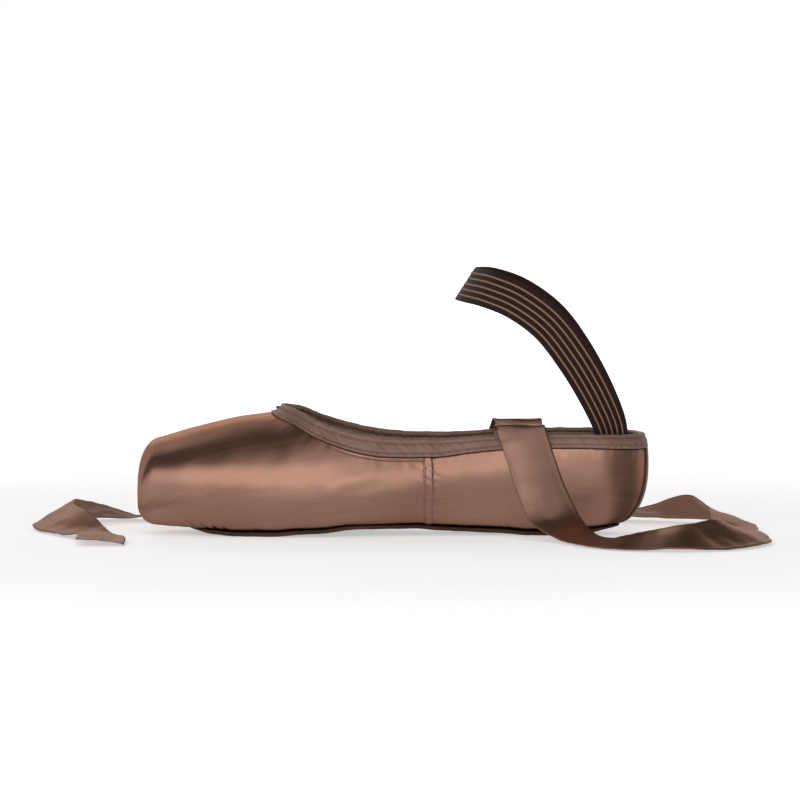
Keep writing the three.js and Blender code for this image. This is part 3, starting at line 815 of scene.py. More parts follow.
def pleat_relief(points, distance, round_line):
    """The satin's folds where it is pulled in under the sole, deepest round the toe."""
    y = points[..., 1]
    inside = np.abs(points[..., 0]) < plate_half(y, SOLE_FRONT_Y, SOLE_ROUND, SOLE_MARGIN)
    under = inside & (y > SOLE_FRONT_Y) & (points[..., 2] < UNDERSIDE_TOP)
    toe = 1 - smoothstep(y, *PLEAT_TOE)
    place = (round_line + ripples(round_line, SOLE_LENGTH, PLEAT_WANDER)) / mix(*PLEAT_PITCH, toe)
    fold = place - np.floor(place)
    rise = smoothstep(fold, *PLEAT_RISE) - smoothstep(fold, *PLEAT_DROP)
    reach = mix(*PLEAT_REACH, toe) * (1 + ripples(round_line, SOLE_LENGTH, PLEAT_UNEVEN))
    depth = mix(*PLEAT_DEPTH, toe) * np.exp(-((distance / reach) ** 2))
    return np.where(under, -UNDERSIDE_DEPTH, -depth * (1 - rise))


def satin_relief(points, run, side):
    """Offsets of the satin's face, a mask of painted shade in the grooves, under the casing, along the sole
    and at the heel strip's edge, and a mask of the heel strip.
    """
    z = points[..., 2]
    collar_distance, round_collar = nearest(points, COLLAR_LINE)
    sole_distance, round_sole = nearest(points, SOLE_LINE)
    seam = np.abs(run - SEAM_Y + seam_sway(z))
    in_strip = strip_half(z) - (BACK_RUN - run)
    strip = smoothstep(in_strip, -STRIP_EDGE_HALF, STRIP_EDGE_HALF)
    strip_edge = bump(in_strip, -STRIP_SHADE_WIDTH, STRIP_SHADE_WIDTH)
    grooves = bump(seam, SEAM_HALF, SEAM_GROOVE) + corner_line(run, collar_distance)
    casing_groove = bump(collar_distance, *CASING_GROOVE)
    tuck = bump(sole_distance, 0, TUCK_REACH)
    gathers = ripples(round_collar, COLLAR_LENGTH, GATHERS) * np.exp(-collar_distance / GATHER_REACH)
    puckers = np.sin(run * PUCKER_TURNS[0] + z * PUCKER_TURNS[1])
    puckers = puckers * np.exp(-np.abs(seam - SEAM_HALF) / PUCKER_REACH)

    offset = waves(points, BROAD_SWELL) + waves(points, FINE_SWELL)
    offset += crease_relief(side, run, z) * smoothstep(np.abs(points[..., 0]), *CREASED_HALF)
    offset += gathers + PUCKER_HEIGHT * puckers
    offset += SEAM_HEIGHT * (1 - smoothstep(seam, SEAM_HALF - 0.5, SEAM_HALF + 0.3))
    offset -= GROOVE_DEPTH * grooves + CASING_GROOVE_DEPTH * casing_groove + TUCK_DEPTH * tuck
    offset += STRIP_HEIGHT * strip - STRIP_EDGE_DEPTH * strip_edge
    offset += pleat_relief(points, sole_distance, round_sole)
    # Painted shade: the grooves, the satin under the casing and the satin along the sole are darkened.
    shade = GROOVE_SHADE * grooves + CASING_GROOVE_SHADE * casing_groove + TUCK_SHADE * tuck
    return offset, np.clip(shade + strip_edge, 0, 1), strip


def make_upper():
    """The satin, a closed layer on the outside of the upper's wall."""
    points, normals, run, cloth = last_surface(LOWER_STEPS, TOP_STEPS)
    hidden = points[::COARSE, ::COARSE] - SATIN_LAYER * normals[::COARSE, ::COARSE]
    halves, masks = [], []
    for turned in SIDES:
        base, out = points * turned, normals * turned
        offset, shade, strip = satin_relief(base, run, turned[0])
        halves.append((base + out * offset[..., None], hidden * turned))
        unused = np.zeros(hidden.shape[0] * hidden.shape[1])
        masks.append(np.stack([np.concatenate([m.ravel(), unused]) for m in (shade, strip)], 1))
    satin, kept = shell("satin_upper", halves, cloth)
    masks = np.concatenate(masks)[kept]
    # The first mask is painted shade in the grooves, along the sole and at the heel strip's edge.
    set_mask(satin, "seams", masks[:, 0])
    set_mask(satin, "heel_strip", masks[:, 1])
    return satin


WRINKLES = (0.12, 14, 8)
WRINKLE_FOOT_Z = 12


def make_lining():
    """The cotton lining, from behind the satin layer to the inside of the wall."""
    points, normals, _, cloth = last_surface(LOWER_STEPS // 2, TOP_STEPS // 2, COARSE)
    wall = wall_thickness(points[..., 1:2])
    outer = points - (SATIN_LAYER + LINING_GAP) * normals
    halves = []
    for turned in SIDES:
        wrinkle = waves(points * turned, WRINKLES)[..., None]
        inner = points - (wall + wrinkle * (points[..., 2:] > WRINKLE_FOOT_Z)) * normals
        halves.append((outer * turned, inner * turned))
    lining, _ = shell("lining_cotton", halves, cloth, COARSE)
    return lining


# ---- Stitches ----

# The length of a stitch, the gap to the next one, and the thread's radius.
CASING_STITCH = (1.7, 0.9, 0.2)
TACK_STITCH = (2.1, 1.3, 0.24)
BAND_STITCH = (1.7, 0.8, 0.2)
SEAM_STITCH = (1.3, 0.7, 0.14)
STITCH_RINGS = 6
STITCH_SIDES = 6
# The least square of a stitch's thickness at its ends, as a share, and its rise in radiuses: its
# middle stands half a radius proud of the cloth and its ends go in.
STITCH_END = 0.05
STITCH_RISE = 1.4
STITCH_SINK = 0.9


def stitches(name, path, outward, stitch):
    """A row of raised stitches as one mesh, along a path that lies on cloth facing outward."""
    length, gap, radius = stitch
    reach = run_along(path)
    count = int(reach[-1] // (length + gap))
    starts = (np.arange(count) + 0.5 * gap / length) * (length + gap)
    shares = np.linspace(0, 1, STITCH_RINGS)
    places = starts[:, None] + shares * length
    middle = at_places(places, reach, path)
    out = unit(at_places(places, reach, outward))
    ahead = unit(np.gradient(middle, axis=1))
    beside = np.cross(out, ahead)
    arch = np.sqrt(np.clip(1 - (2 * shares - 1) ** 2, STITCH_END, 1))
    turns = np.linspace(0, 2 * math.pi, STITCH_SIDES, endpoint=False)
    ring = np.cos(turns)[:, None] * beside[:, :, None] + np.sin(turns)[:, None] * out[:, :, None]
    rise = (radius * (STITCH_RISE * arch - STITCH_SINK))[None, :, None, None] * out[:, :, None]
    points = middle[:, :, None] + rise + ring * (radius * arch)[None, :, None, None]
    each = STITCH_RINGS * STITCH_SIDES
    one = grid_faces(STITCH_RINGS, STITCH_SIDES, closed=True)
    one += [list(range(STITCH_SIDES)), [each - 1 - k for k in range(STITCH_SIDES)]]
    faces = [[each * i + k for k in face[::-1]] for i in range(count) for face in one]
    return mesh_object(name, points.reshape(-1, 3), faces)


# ---- Drawstring casing ----

# The casing's folded section: the height above the satin's edge in millimetres, plus a share of the
# casing's own height, and how far its face stands from its middle.
CASING_FACE = table(
    "rise share face",
    (-0.9, 0, 1.0),
    (-1.05, 0, 1.3),
    (-0.8, 0, 1.52),
    (-0.2, 0, 1.6),
    (0.35, 0, 1.5),
    (0.8, 0, 1.28),
    (1.3, 0, 1.42),
    (1.8, 0, 1.52),
    (0.6, 0.35, 1.5),
    (0.6, 0.5, 1.42),
    (0.6, 0.62, 1.28),
    (0.6, 0.68, 1.06),
    (0.6, 0.73, 1.1),
    (0.6, 0.79, 1.32),
    (0.6, 0.86, 1.34),
    (0.6, 0.93, 1.14),
    (0.6, 0.98, 0.7),
    (0.6, 1.0, 0.0),
)
# The share of the casing's height where it is drawn in under the cord, darkened there by painted shade.
DRAWN_LINE = 0.7
DRAWN_LINE_HALF = 0.045
# The columns of CASING_FACE that carry the stitches and the elastic's tacks, and the painted shade
# under the stitches, about as many columns wide.
STITCH_ROW = 5
TACK_ROW = 3
STITCHED_SHADE = 0.9
STITCHED_WIDTH = 0.6
# The share of its height over which the casing goes on the way the satin goes, before it leans.
BEND_SHARE = 0.35
# The casing's puckers: their depth, the waves they are made of and how far each leans with the
# height, how much deeper they are at the throat and how far from it that fades, and the share of
# them that is left above a share of the casing's height. The whole casing wobbles a little too.
CASING_PUCKER = 0.13
CASING_PUCKERS = (((1, 5.2, 11), 0.9), ((0.5, 2.6, 12), -0.5))
THROAT_GATHER = 1.3
THROAT_GATHER_REACH = 22
TOP_SHARE = 0.9
TOP_PUCKER = 0.35
CASING_WOBBLE = (0.1, 9, 13)
# A column of the casing's outer face and a station at its side, along which cloth is measured.
FACE_COLUMN = 8
SIDE_STATION = 40
TACK_START_Y = 93
TACK_END_Y = 109
# Steps, in radians and millimetres, that give the directions of a surface at a point.
SMALL_ANGLE = 0.02
SMALL_STEP = 0.4
TINY = 0.05


def collar_frames(y, turn):
    """The satin's edge, its outward normal there, the edge's direction and the way up off it."""
    angle = collar_angle(y, turn)
    point = side_point(y, turn, angle)
    point[[0, -1], 0] = 0
    edge = np.gradient(point, axis=0)
    edge[0] = [1, 0, 0]
    edge[-1] = [-1, 0, 0]
    edge = unit(edge)
    is_fan = turn > 0
    beside_y = np.where(is_fan, y, y - SMALL_STEP)
    beside = side_point(beside_y, np.where(is_fan, turn - SMALL_ANGLE, 0), angle) - point
    down = side_point(y, turn, angle - SMALL_ANGLE) - point
    normal = unit(np.cross(beside, down))
    normal[[0, -1], 0] = 0
    normal = unit(normal)
    return point, normal, edge, unit(np.cross(normal, edge))


def casing_middle(y, turn, point, normal, away):
    """The middle of the casing's thickness as a function of the height above the satin's edge, and
    the casing's height. It goes on up from the satin and leans in over the opening."""
    along = y + HEEL_RADIUS * np.sin(turn)
    lean = np.radians(collar_curves["lean"](along))[:, None]
    tall = collar_curves["tall"](along)[:, None]
    level = unit(-normal * [1, 1, 0])
    upright = level * np.sin(lean) + [0, 0, 1] * np.cos(lean)
    foot = point - normal * QUARTER_WALL / 2 + away * BINDING_GAP
    bend = foot + away * tall * BEND_SHARE
    top = foot + upright * tall

    def middle_at(height):
        t = np.clip((height - BINDING_GAP) / tall, 0, 1)
        curve = foot * (1 - t) ** 2 + bend * 2 * t * (1 - t) + top * t**2
        return curve + away * np.minimum(height - BINDING_GAP, 0)

    return middle_at, tall


def casing_grid():
    """The +X half of the casing's skin: its points and their outward directions, a row for each
    station and a column for each place of the section, outside then inside. Also how far along
    the satin's edge each row is."""
    y, turn = collar_stations(step=0.6, near_length=4, near_count=26)
    point, normal, edge, away = collar_frames(y, turn)
    middle_at, tall = casing_middle(y, turn, point, normal, away)
    face = {name: np.concatenate([v, v[-2::-1]]) for name, v in CASING_FACE.items()}
    inside = np.arange(len(face["rise"])) >= len(CASING_FACE["rise"])
    points, outs = [], []
    lengths = run_along(point)
    gather = 1 + THROAT_GATHER * np.exp(-lengths / THROAT_GATHER_REACH)
    for rise, share, stand, is_inside in zip(*face.values(), inside):
        height = rise + share * (tall - TINY)
        climb = unit(middle_at(height + TINY) - middle_at(height - TINY))
        out = unit(np.cross(edge, climb)) * (-1 if is_inside else 1)
        places = [(lengths + slant * height[:, 0], wave) for wave, slant in CASING_PUCKERS]
        pucker = sum(ripples(place, COLLAR_LENGTH, wave) for place, wave in places)
        depth = CASING_PUCKER * gather * (TOP_PUCKER if share > TOP_SHARE else 1)
        wobble = away * (gather * ripples(lengths, COLLAR_LENGTH, CASING_WOBBLE))[:, None] * share
        points.append(middle_at(height) + out * (stand + (depth * pucker)[:, None]) + wobble)
        outs.append(out)
    points, outs = np.stack(points, 1), np.stack(outs, 1)
    for grid in (points, outs):
        grid[0, :, 0] = 0
        grid[-1, :, 0] = 0
    return points, outs, lengths


def make_casing():
    """The folded casing all round the collar, with its row of stitches."""
    half, outs, lengths = casing_grid()
    ring = closed_line(half)
    rows, columns = ring.shape[:2]
    faces = np.array(grid_faces(rows, columns, closed=True, looped=True))
    way_back = lengths[-1] + run_along(half[::-1, FACE_COLUMN])[1:]
    uv = grid_uv(faces, np.concatenate([lengths, way_back]), run_along(half[SIDE_STATION]))
    casing = mesh_object("collar_casing", ring.reshape(-1, 3), faces.tolist(), uv)
    # Painted shade in the line drawn in under the cord and under the row of stitches.
    groove = bump(CASING_FACE["share"], DRAWN_LINE, DRAWN_LINE_HALF)
    stitched = STITCHED_SHADE * bump(np.arange(len(groove)), STITCH_ROW, STITCHED_WIDTH)
    groove = np.maximum(groove, stitched)
    set_mask(casing, "seams", np.tile(np.concatenate([groove, groove[-2::-1]]), rows))
    line, out = closed_line(half[:, STITCH_ROW]), closed_line(outs[:, STITCH_ROW])
    thread = stitches("casing_stitches", line, out, CASING_STITCH)
    return casing, thread, make_tacks(half, outs)


def make_tacks(half, outs):
    """The few longer stitches on each side that catch the elastic's end into the casing."""
    line, out = half[:, TACK_ROW], outs[:, TACK_ROW]
    caught = (line[:, 1] > TACK_START_Y) & (line[:, 1] < TACK_END_Y)
    rows = []
    for turned in SIDES:
        rows.append(stitches("elastic_tacks", line[caught] * turned, out[caught] * turned, TACK_STITCH))
    return joined(rows)


KNOT_COLUMN = 9
# The knot is a trefoil of the cord, sized across, up and outwards. The slot is an oval of thread.
KNOT_STEPS = 60
KNOT_HALF = (0.3, 0.2, 0.28)
KNOT_RISE = 0.45
CORD_RADIUS = 0.34
SLOT_STEPS = 40
SLOT_HALF = (1.5, 0.95)
SLOT_RADIUS = 0.26


def make_knot():
    """The drawstring's small knot, in the stitched slot at the middle of the throat."""
    half, outs, _ = casing_grid()
    middle, out = half[0, KNOT_COLUMN], outs[0, KNOT_COLUMN]
    across = np.array([1, 0, 0])
    up = np.cross(out, across)
    turns = np.linspace(0, 2 * math.pi, KNOT_STEPS, endpoint=False)
    reach = 2 + np.cos(3 * turns)
    x, z, depth = KNOT_HALF
    path = middle + np.outer(KNOT_RISE + depth * np.sin(3 * turns), out)
    path += np.outer(x * reach * np.cos(2 * turns), across)
    path += np.outer(z * reach * np.sin(2 * turns), up)
    knot = cord_ring("drawstring_knot_cord", path, CORD_RADIUS)
    ring = np.linspace(0, 2 * math.pi, SLOT_STEPS, endpoint=False)
    wide, tall = SLOT_HALF
    rim = middle + np.outer(wide * np.cos(ring), across) + np.outer(tall * np.sin(ring), up)
    slot = cord_ring("drawstring_slot", rim, SLOT_RADIUS)
    return knot, slot


# ---- Bands: elastic and ribbons ----

CURVE_STEPS = 60


def smooth_curve(points, count):
    """Even places along the centripetal Catmull-Rom curve through points, and how many points
    each is past the start."""
    line = np.concatenate([[2 * points[0] - points[1]], points, [2 * points[-1] - points[-2]]])
    spans = np.sqrt(np.linalg.norm(np.diff(line, axis=0), axis=1))
    t = np.linspace(0, 1, CURVE_STEPS, endpoint=False)[:, None]
    pieces = []
    for i in range(len(points) - 1):
        x0, x1, x2, x3 = line[i : i + 4]
        d0, d1, d2 = spans[i : i + 3]
        start = d1 * ((x1 - x0) / d0 - (x2 - x0) / (d0 + d1) + (x2 - x1) / d1)
        end = d1 * ((x2 - x1) / d1 - (x3 - x1) / (d1 + d2) + (x3 - x2) / d2)
        square = -3 * x1 + 3 * x2 - 2 * start - end
        cube = 2 * x1 - 2 * x2 + start + end
        pieces.append(x1 + start * t + square * t**2 + cube * t**3)
    fine = np.concatenate([*pieces, points[-1:]])
    reach = run_along(fine)
    even = np.linspace(0, reach[-1], count)
    return at_places(even, reach, fine), np.interp(even, reach, np.arange(len(fine)) / CURVE_STEPS)


FLOOR_TOUCH = 0.06


def band(name, middles, across, width, profile, relief=0.0):
    """A closed flat band. profile gives, across the width, the half thickness of its two faces,
    and relief lifts both faces together, a row for each place along it."""
    ahead = unit(np.gradient(middles, axis=0))
    across = unit(across - ahead * np.sum(across * ahead, 1, keepdims=True))
    out = np.cross(ahead, across)
    shares, faces_out = profile
    offset = across[:, None] * (shares * width)[None, :, None]
    relief = np.broadcast_to(relief, offset.shape[:2])
    top = middles[:, None] + offset + out[:, None] * (relief + faces_out)[..., None]
    low = middles[:, None] + offset + out[:, None] * (relief - faces_out)[..., None]
    lift = np.maximum(0, FLOOR_TOUCH - np.minimum(top[..., 2], low[..., 2]))
    top[..., 2] += lift
    low[..., 2] += lift
    ring = np.concatenate([top, low[:, ::-1]], 1)
    rows, columns = ring.shape[:2]
    quads = np.array(grid_faces(rows, columns, closed=True))
    uv = grid_uv(quads, run_along(middles), np.concatenate([shares, shares[::-1]]) * width)
    last = (rows - 1) * columns
    half = columns // 2
    caps = []
    for k in range(half - 1):
        caps.append([k, k + 1, columns - 2 - k, columns - 1 - k])
        caps.append([last + i for i in caps[-1][::-1]])
    uv = np.concatenate([uv, np.zeros((len(caps) * 4, 2))])
    return mesh_object(name, ring.reshape(-1, 3), quads.tolist() + caps, uv), out


ELASTIC_ROWS = 420
ELASTIC_COLUMNS = 79
# Five ribs stand a sixth of the width apart, inside the plain edges.
RIB_PITCH = ELASTIC_WIDTH / 6
RIB_WIDTH = 0.42
RIB_HEIGHT = 0.34
RIBBED_SHARE = 0.42
ELASTIC_HALF = 0.26
EDGE_ROUND = 0.5
EDGE_HEIGHT = 0.16


def make_elastic():
    """The ribbed elastic loop, standing as the ankle holds it."""
    other = {name: values[-2::-1] for name, values in ELASTIC.items()}
    other["x"] = -other["x"]
    other["facing"] = -180 - other["facing"]
    rows = {name: np.concatenate([ELASTIC[name], other[name]]) for name in ELASTIC}
    points = np.stack([rows[name] for name in "xyz"], 1)
    middles, place = smooth_curve(points, ELASTIC_ROWS)
    numbers = np.arange(len(points))
    facing = np.radians(np.interp(place, numbers, rows["facing"]))
    tilt = np.radians(np.interp(place, numbers, rows["tilt"]))
    level = np.cos(tilt)
    out = np.stack([level * np.cos(facing), level * np.sin(facing), np.sin(tilt)], 1)
    across = np.cross(out, unit(np.gradient(middles, axis=0)))
    shares = np.linspace(-0.5, 0.5, ELASTIC_COLUMNS)
    from_rib = np.abs((shares * ELASTIC_WIDTH / RIB_PITCH + 0.5) % 1 - 0.5) * RIB_PITCH
    ribs = np.where(np.abs(shares) < RIBBED_SHARE, RIB_HEIGHT * bump(from_rib, 0, RIB_WIDTH), 0)
    to_edge = (0.5 - np.abs(shares)) * ELASTIC_WIDTH
    face = ELASTIC_HALF + EDGE_HEIGHT * np.sqrt(np.clip(to_edge / EDGE_ROUND, 0, 1)) + ribs
    piece, outs = band("ankle_elastic_webbing", middles, across, ELASTIC_WIDTH, (shares, face))
    return piece, middles, across, outs


def floor_height(lift):
    """The height of a ribbon's middle where it lies on the floor, turned up on edge by lift."""
    angle = np.radians(np.abs(lift))
    return RIBBON_WIDTH / 2 * np.sin(angle) + RIBBON_THICKNESS / 2 * np.cos(angle) + FLOOR_CLEARANCE


RIBBON_ROWS = 640
RIBBON_COLUMNS = 27
RIBBON_HALF = 0.2
SELVEDGE_SHARE = 0.46
SELVEDGE_HEIGHT = 0.12
# The point of RIBBON_DROP round which the ribbon hangs free and curls outwards, and by how much.
HANGING_POINT = 9.5
HANGING_REACH = 3.2
HANGING_CURL = 1.3
# The rows each way over which the ribbon's height and direction are evened where it lands.
LANDING_REACH = 15
# The slope over which the ribbon's width turns from level to the side of the shoe.
STEEP = (0.25, 0.75)
# The share of its length over which the ribbon comes free of its stitches.
SEWN_SHARE = (0.03, 0.09)
# The ribbon's uneven waves, as height and pitch: how far it twists on the floor, in degrees, how
# it lies in waves there, how it bows across its width, and how it is crinkled.
FLOOR_TWIST = (5, 60)
FLOOR_WAVE = (0.9, 34)
BOW_PITCH = 48
CRINKLE = (0.16, 11)
# The height of its bow and the share of its crinkles, held and then loose.
BOW = (0.5, 0.9)
CRINKLE_SHARE = (0.3, 1)


def running_mean(values, reach):
    """The mean of each row's values with its neighbours', a number of rows each way."""
    padded = np.concatenate([values[:1]] * reach + [values] + [values[-1:]] * reach)
    return sum(padded[i : i + len(values)] for i in range(2 * reach + 1)) / (2 * reach + 1)


def ribbon_route(side, floor_rows):
    """The points of a ribbon's middle, and how far it is turned on its length at each of them."""
    drop_y = RIBBON_Y + side * RIBBON_DROP["drift"]
    drop = np.stack([side * RIBBON_DROP["x"], drop_y, RIBBON_DROP["z"]], 1)
    heights = floor_height(floor_rows["lift"])
    floor = np.stack([floor_rows["x"], floor_rows["y"], heights], 1)
    return np.concatenate([drop, floor]), np.concatenate([RIBBON_DROP["lift"], floor_rows["lift"]])


def ribbon_across(middles, lift, side):
    """The direction across a ribbon at each place: level, or along the shoe where it is steep, and
    then turned on the ribbon's length by lift."""
    ahead = unit(np.gradient(middles, axis=0))
    flat = unit(np.stack([ahead[:, 1], -ahead[:, 0], np.zeros(len(ahead))], 1))
    sewn = np.array([0, -side, 0])
    upright = smoothstep(np.abs(ahead[:, 2]), *STEEP)[:, None]
    across = unit(mix(flat, sewn, upright))
    up = np.cross(across, ahead)
    across = across * np.cos(lift)[:, None] + up * np.sin(lift)[:, None]
    return unit(across - ahead * np.sum(across * ahead, 1, keepdims=True))


def ribbon_relief(place, length, on_floor, shares, seed):
    """How far a ribbon's faces stand off its middle: it bows across its width and is crinkled."""
    bow = mix(*BOW, on_floor) * ripples(length, RIBBON_LENGTH, (1, BOW_PITCH, seed + 2))
    bow -= HANGING_CURL * bump(place, HANGING_POINT, HANGING_REACH)
    places = np.stack(np.meshgrid(length, shares * RIBBON_WIDTH, indexing="ij"), -1)
    crinkle = waves(places, (*CRINKLE, seed)) * mix(*CRINKLE_SHARE, on_floor)[:, None]
    free = smoothstep(length / RIBBON_LENGTH, *SEWN_SHARE)[:, None]
    return free * (bow[:, None] * (1 - 4 * shares**2) + crinkle)


def make_ribbon(name, side, floor_rows, seed):
    """One satin ribbon, with the route that its middle follows."""
    points, lifts = ribbon_route(side, floor_rows)
    middles, place = smooth_curve(points, RIBBON_ROWS)
    landed = len(RIBBON_DROP["x"])
    on_floor = smoothstep(place, landed - 1, landed + 1)
    length = np.linspace(0, RIBBON_LENGTH, len(middles))
    lift = np.radians(np.interp(place, np.arange(len(points)), lifts))
    lift += np.radians(on_floor * ripples(length, RIBBON_LENGTH, (*FLOOR_TWIST, seed)))
    across = ribbon_across(middles, lift, side)
    lowest = FLOOR_CLEARANCE + RIBBON_THICKNESS / 2 + RIBBON_WIDTH / 2 * np.abs(across[:, 2])
    wave = on_floor * (FLOOR_WAVE[0] + ripples(length, RIBBON_LENGTH, (*FLOOR_WAVE, seed + 1)))
    height = np.maximum(middles[:, 2], lowest + wave)
    landing = smoothstep(place, HANGING_POINT, landed - 1)
    middles[:, 2] = mix(height, running_mean(height, LANDING_REACH), landing)
    across = unit(mix(across, running_mean(across, LANDING_REACH), landing[:, None]))
    shares = np.linspace(-0.5, 0.5, RIBBON_COLUMNS)
    profile = (shares, RIBBON_HALF + SELVEDGE_HEIGHT * (np.abs(shares) > SELVEDGE_SHARE))
    relief = ribbon_relief(place, length, on_floor, shares, seed)
    ribbon, outs = band(name, middles, across, RIBBON_WIDTH, profile, relief)
    return ribbon, middles, across, outs


# The stretch of each band that is sewn in, from its end, and where the stitches lie in it.
RIBBON_SEWN = (1.5, 13)
ELASTIC_SEWN = (1.5, 12)
SEWN_MARGIN = 1.6
SEWN_LIFT = 0.4
SEWN_STEPS = 160


def sewn_box(name, middles, across, outs, width, stretch):
    """The rectangle of stitches that holds a band's end to the lining, on the band's inner face."""
    reach = run_along(middles)
    half = width / 2 - SEWN_MARGIN
    start, end = stretch
    corners = np.array([(start, -half), (end, -half), (end, half), (start, half), (start, -half)])
    share = np.linspace(0, len(corners) - 1, SEWN_STEPS)
    numbers = np.arange(len(corners))
    place, aside = (np.interp(share, numbers, corners[:, k]) for k in range(2))
    middle, beside, out = (at_places(place, reach, rows) for rows in (middles, across, outs))
    inwards = -unit(out)
    path = middle + beside * aside[:, None] + inwards * SEWN_LIFT
    return stitches(name, path, inwards, BAND_STITCH)


# How far the seam's thread lies in its groove, the points up its path below and above the widest
# line, how far from the sole's flat it starts, and how many points it stops short of the casing.
SEAM_SINK = 0.22
SEAM_STEPS = (120, 100)
SEAM_FOOT_MARGIN = SOLE_MARGIN + 2
SEAM_TOP_POINTS = 4


def make_seam_stitches():
    """Two close rows of small stitches beside each side seam."""
    rows = []
    for turned in SIDES:
        for beside in (-SEAM_HALF, SEAM_HALF):
            y = np.array([SEAM_Y + beside])
            path = section_paths(y, np.zeros(1), *SEAM_STEPS)[0][0]
            path = path[path[:, 0] > plate_half(y, SOLE_FRONT_Y, SOLE_ROUND, SEAM_FOOT_MARGIN)]
            path = path[:-SEAM_TOP_POINTS]
            path[:, 1] -= seam_sway(path[:, 2])
            ahead = np.gradient(path, axis=0)
            outward = unit(np.cross([0, 1, 0], ahead))
            path = (path - outward * SEAM_SINK) * turned
            rows.append(stitches("seam_stitches", path, outward * turned, SEAM_STITCH))
    return joined(rows)


# ---- Sole and sock ----


PLATE_STEP = 0.8
PLATE_COLUMNS = 49


def plate(name, outline, top_at, bottom_at):
    """A closed flat piece between two heights that depend on the place and its distance from the
    piece's edge."""
    half, y = outline
    shares = np.sin(np.linspace(-QUARTER_TURN, QUARTER_TURN, PLATE_COLUMNS))
    x = half[:, None] * shares
    y = np.broadcast_to(y[:, None], x.shape)
    edge = closed_line(np.stack([half, y[:, 0], np.zeros(len(half))], 1))
    level = np.stack([x, y, np.zeros(x.shape)], -1)
    distance, _ = nearest(level, edge)
    top = np.stack([x, y, top_at(x, y, distance)], -1)
    low = np.stack([x, y, bottom_at(x, y, distance)], -1)
    ring = np.concatenate([top, low[:, ::-1]], 1)
    faces = grid_faces(len(half), 2 * PLATE_COLUMNS, flipped=True, closed=True)
    cloth = np.concatenate([level, level[:, ::-1]], 1).reshape(-1, 3)[:, :2]
    points = ring.reshape(-1, 3)
    kept, welded, corners = weld(points, faces)
    return mesh_object(name, points[kept], welded, cloth[corners])


def sole_thickness(y):
    """The leather is skived towards its front, and to an edge as thin behind the heel's flat."""
    share = smoothstep(y, SOLE_FRONT_Y, SOLE_FRONT_Y + SOLE_SKIVE)
    share *= 1 - smoothstep(y, HEEL_CENTRE_Y, HEEL_CENTRE_Y + SOLE_SKIVE)
    return mix(SOLE_FRONT_THICKNESS, SOLE_THICKNESS, share)


# The sole's edge: how far its top drops there and how its underside is rounded, down to a share
# of its thickness. Then the stitched channel, and how uneven the leather is worn.
SOLE_EDGE_DROP = 0.15
SOLE_DROP_REACH = 0.5
SOLE_EDGE_ROUND = 1.5
SOLE_EDGE_SHARE = 0.45
CHANNEL_DEPTH = 0.32
CHANNEL_FROM_EDGE = 4.6
CHANNEL_WIDTH = 0.45
SOLE_WEAR = 0.06
SOLE_WAVES = ((0.05, 9, 21), (0.03, 3, 22))


def make_outsole():
    """The leather sole, with the channel that hides its stitches."""

    def top(x, y, distance):
        return underside_height(x, y) - GAP - SOLE_EDGE_DROP * np.exp(-distance / SOLE_DROP_REACH)

    def bottom(x, y, distance):
        edge = rounded_end(distance, SOLE_EDGE_ROUND)
        thickness = sole_thickness(y) * mix(SOLE_EDGE_SHARE, 1, edge)
        channel = CHANNEL_DEPTH * bump(distance, CHANNEL_FROM_EDGE, CHANNEL_WIDTH)
        worn = SOLE_WEAR + sum(waves(np.stack([x, y], -1), wave) for wave in SOLE_WAVES)
        return underside_height(x, y) - GAP - thickness + channel + worn * edge

    outline = plate_outline(SOLE_FRONT_Y, SOLE_ROUND, SOLE_MARGIN, PLATE_STEP)
    return plate("sole_leather_cut", outline, top, bottom)


SOCK_EDGE_DROP = 0.45
SOCK_DROP_REACH = 1.1
SOCK_SWELL = (0.12, 26, 31)


def make_sock():
    """The insole under its cotton sock, worn a little uneven."""

    def top(x, y, distance):
        lift = wall_thickness(y) + GAP + INSOLE_THICKNESS
        lift -= SOCK_EDGE_DROP * np.exp(-distance / SOCK_DROP_REACH)
        return underside_height(x, y) + lift + waves(np.stack([x, y], -1), SOCK_SWELL)

    def bottom(x, y, distance):
        return underside_height(x, y) + wall_thickness(y) + GAP

    outline = plate_outline(INSOLE_FRONT_Y, INSOLE_ROUND, INSOLE_MARGIN, PLATE_STEP)
    return plate("insole_sock", outline, top, bottom)


# ---- Materials ----


class Nodes:
    """The nodes of a material or of the world."""

    def __init__(self, owner):
        owner.use_nodes = True
        self.tree = owner.node_tree

    def node(self, kind, inputs=None, **settings):
        """A new node. An input is a number or colour, or another node's output."""
        made = self.tree.nodes.new(kind)
        for name, value in settings.items():
            setattr(made, name, value)
        for socket, value in (inputs or {}).items():
            self.put(made.inputs[socket], value)
        return made

    def put(self, socket, value):
        if isinstance(value, bpy.types.NodeSocket):
            self.tree.links.new(value, socket)
        else:
            socket.default_value = value

    def math(self, operation, *values):
        inputs = dict(enumerate(values))
        return self.node("ShaderNodeMath", inputs, operation=operation).outputs[0]

    def vector(self, operation, *values):
        inputs = dict(enumerate(values))
        return self.node("ShaderNodeVectorMath", inputs, operation=operation).outputs

    def spread(self, value, low, high, start=0.0, end=1.0):
        """value from low..high brought to start..end."""
        inputs = {"Value": value, "From Min": low, "From Max": high, "To Min": start, "To Max": end}
        return self.node("ShaderNodeMapRange", inputs, clamp=True).outputs[0]

    def blend(self, share, first, second):
        """A mix of two colours."""
        made = self.node("ShaderNodeMix", data_type="RGBA")
        self.put(made.inputs["Factor"], share)
        self.put(made.inputs[6], first)
        self.put(made.inputs[7], second)
        return made.outputs[2]


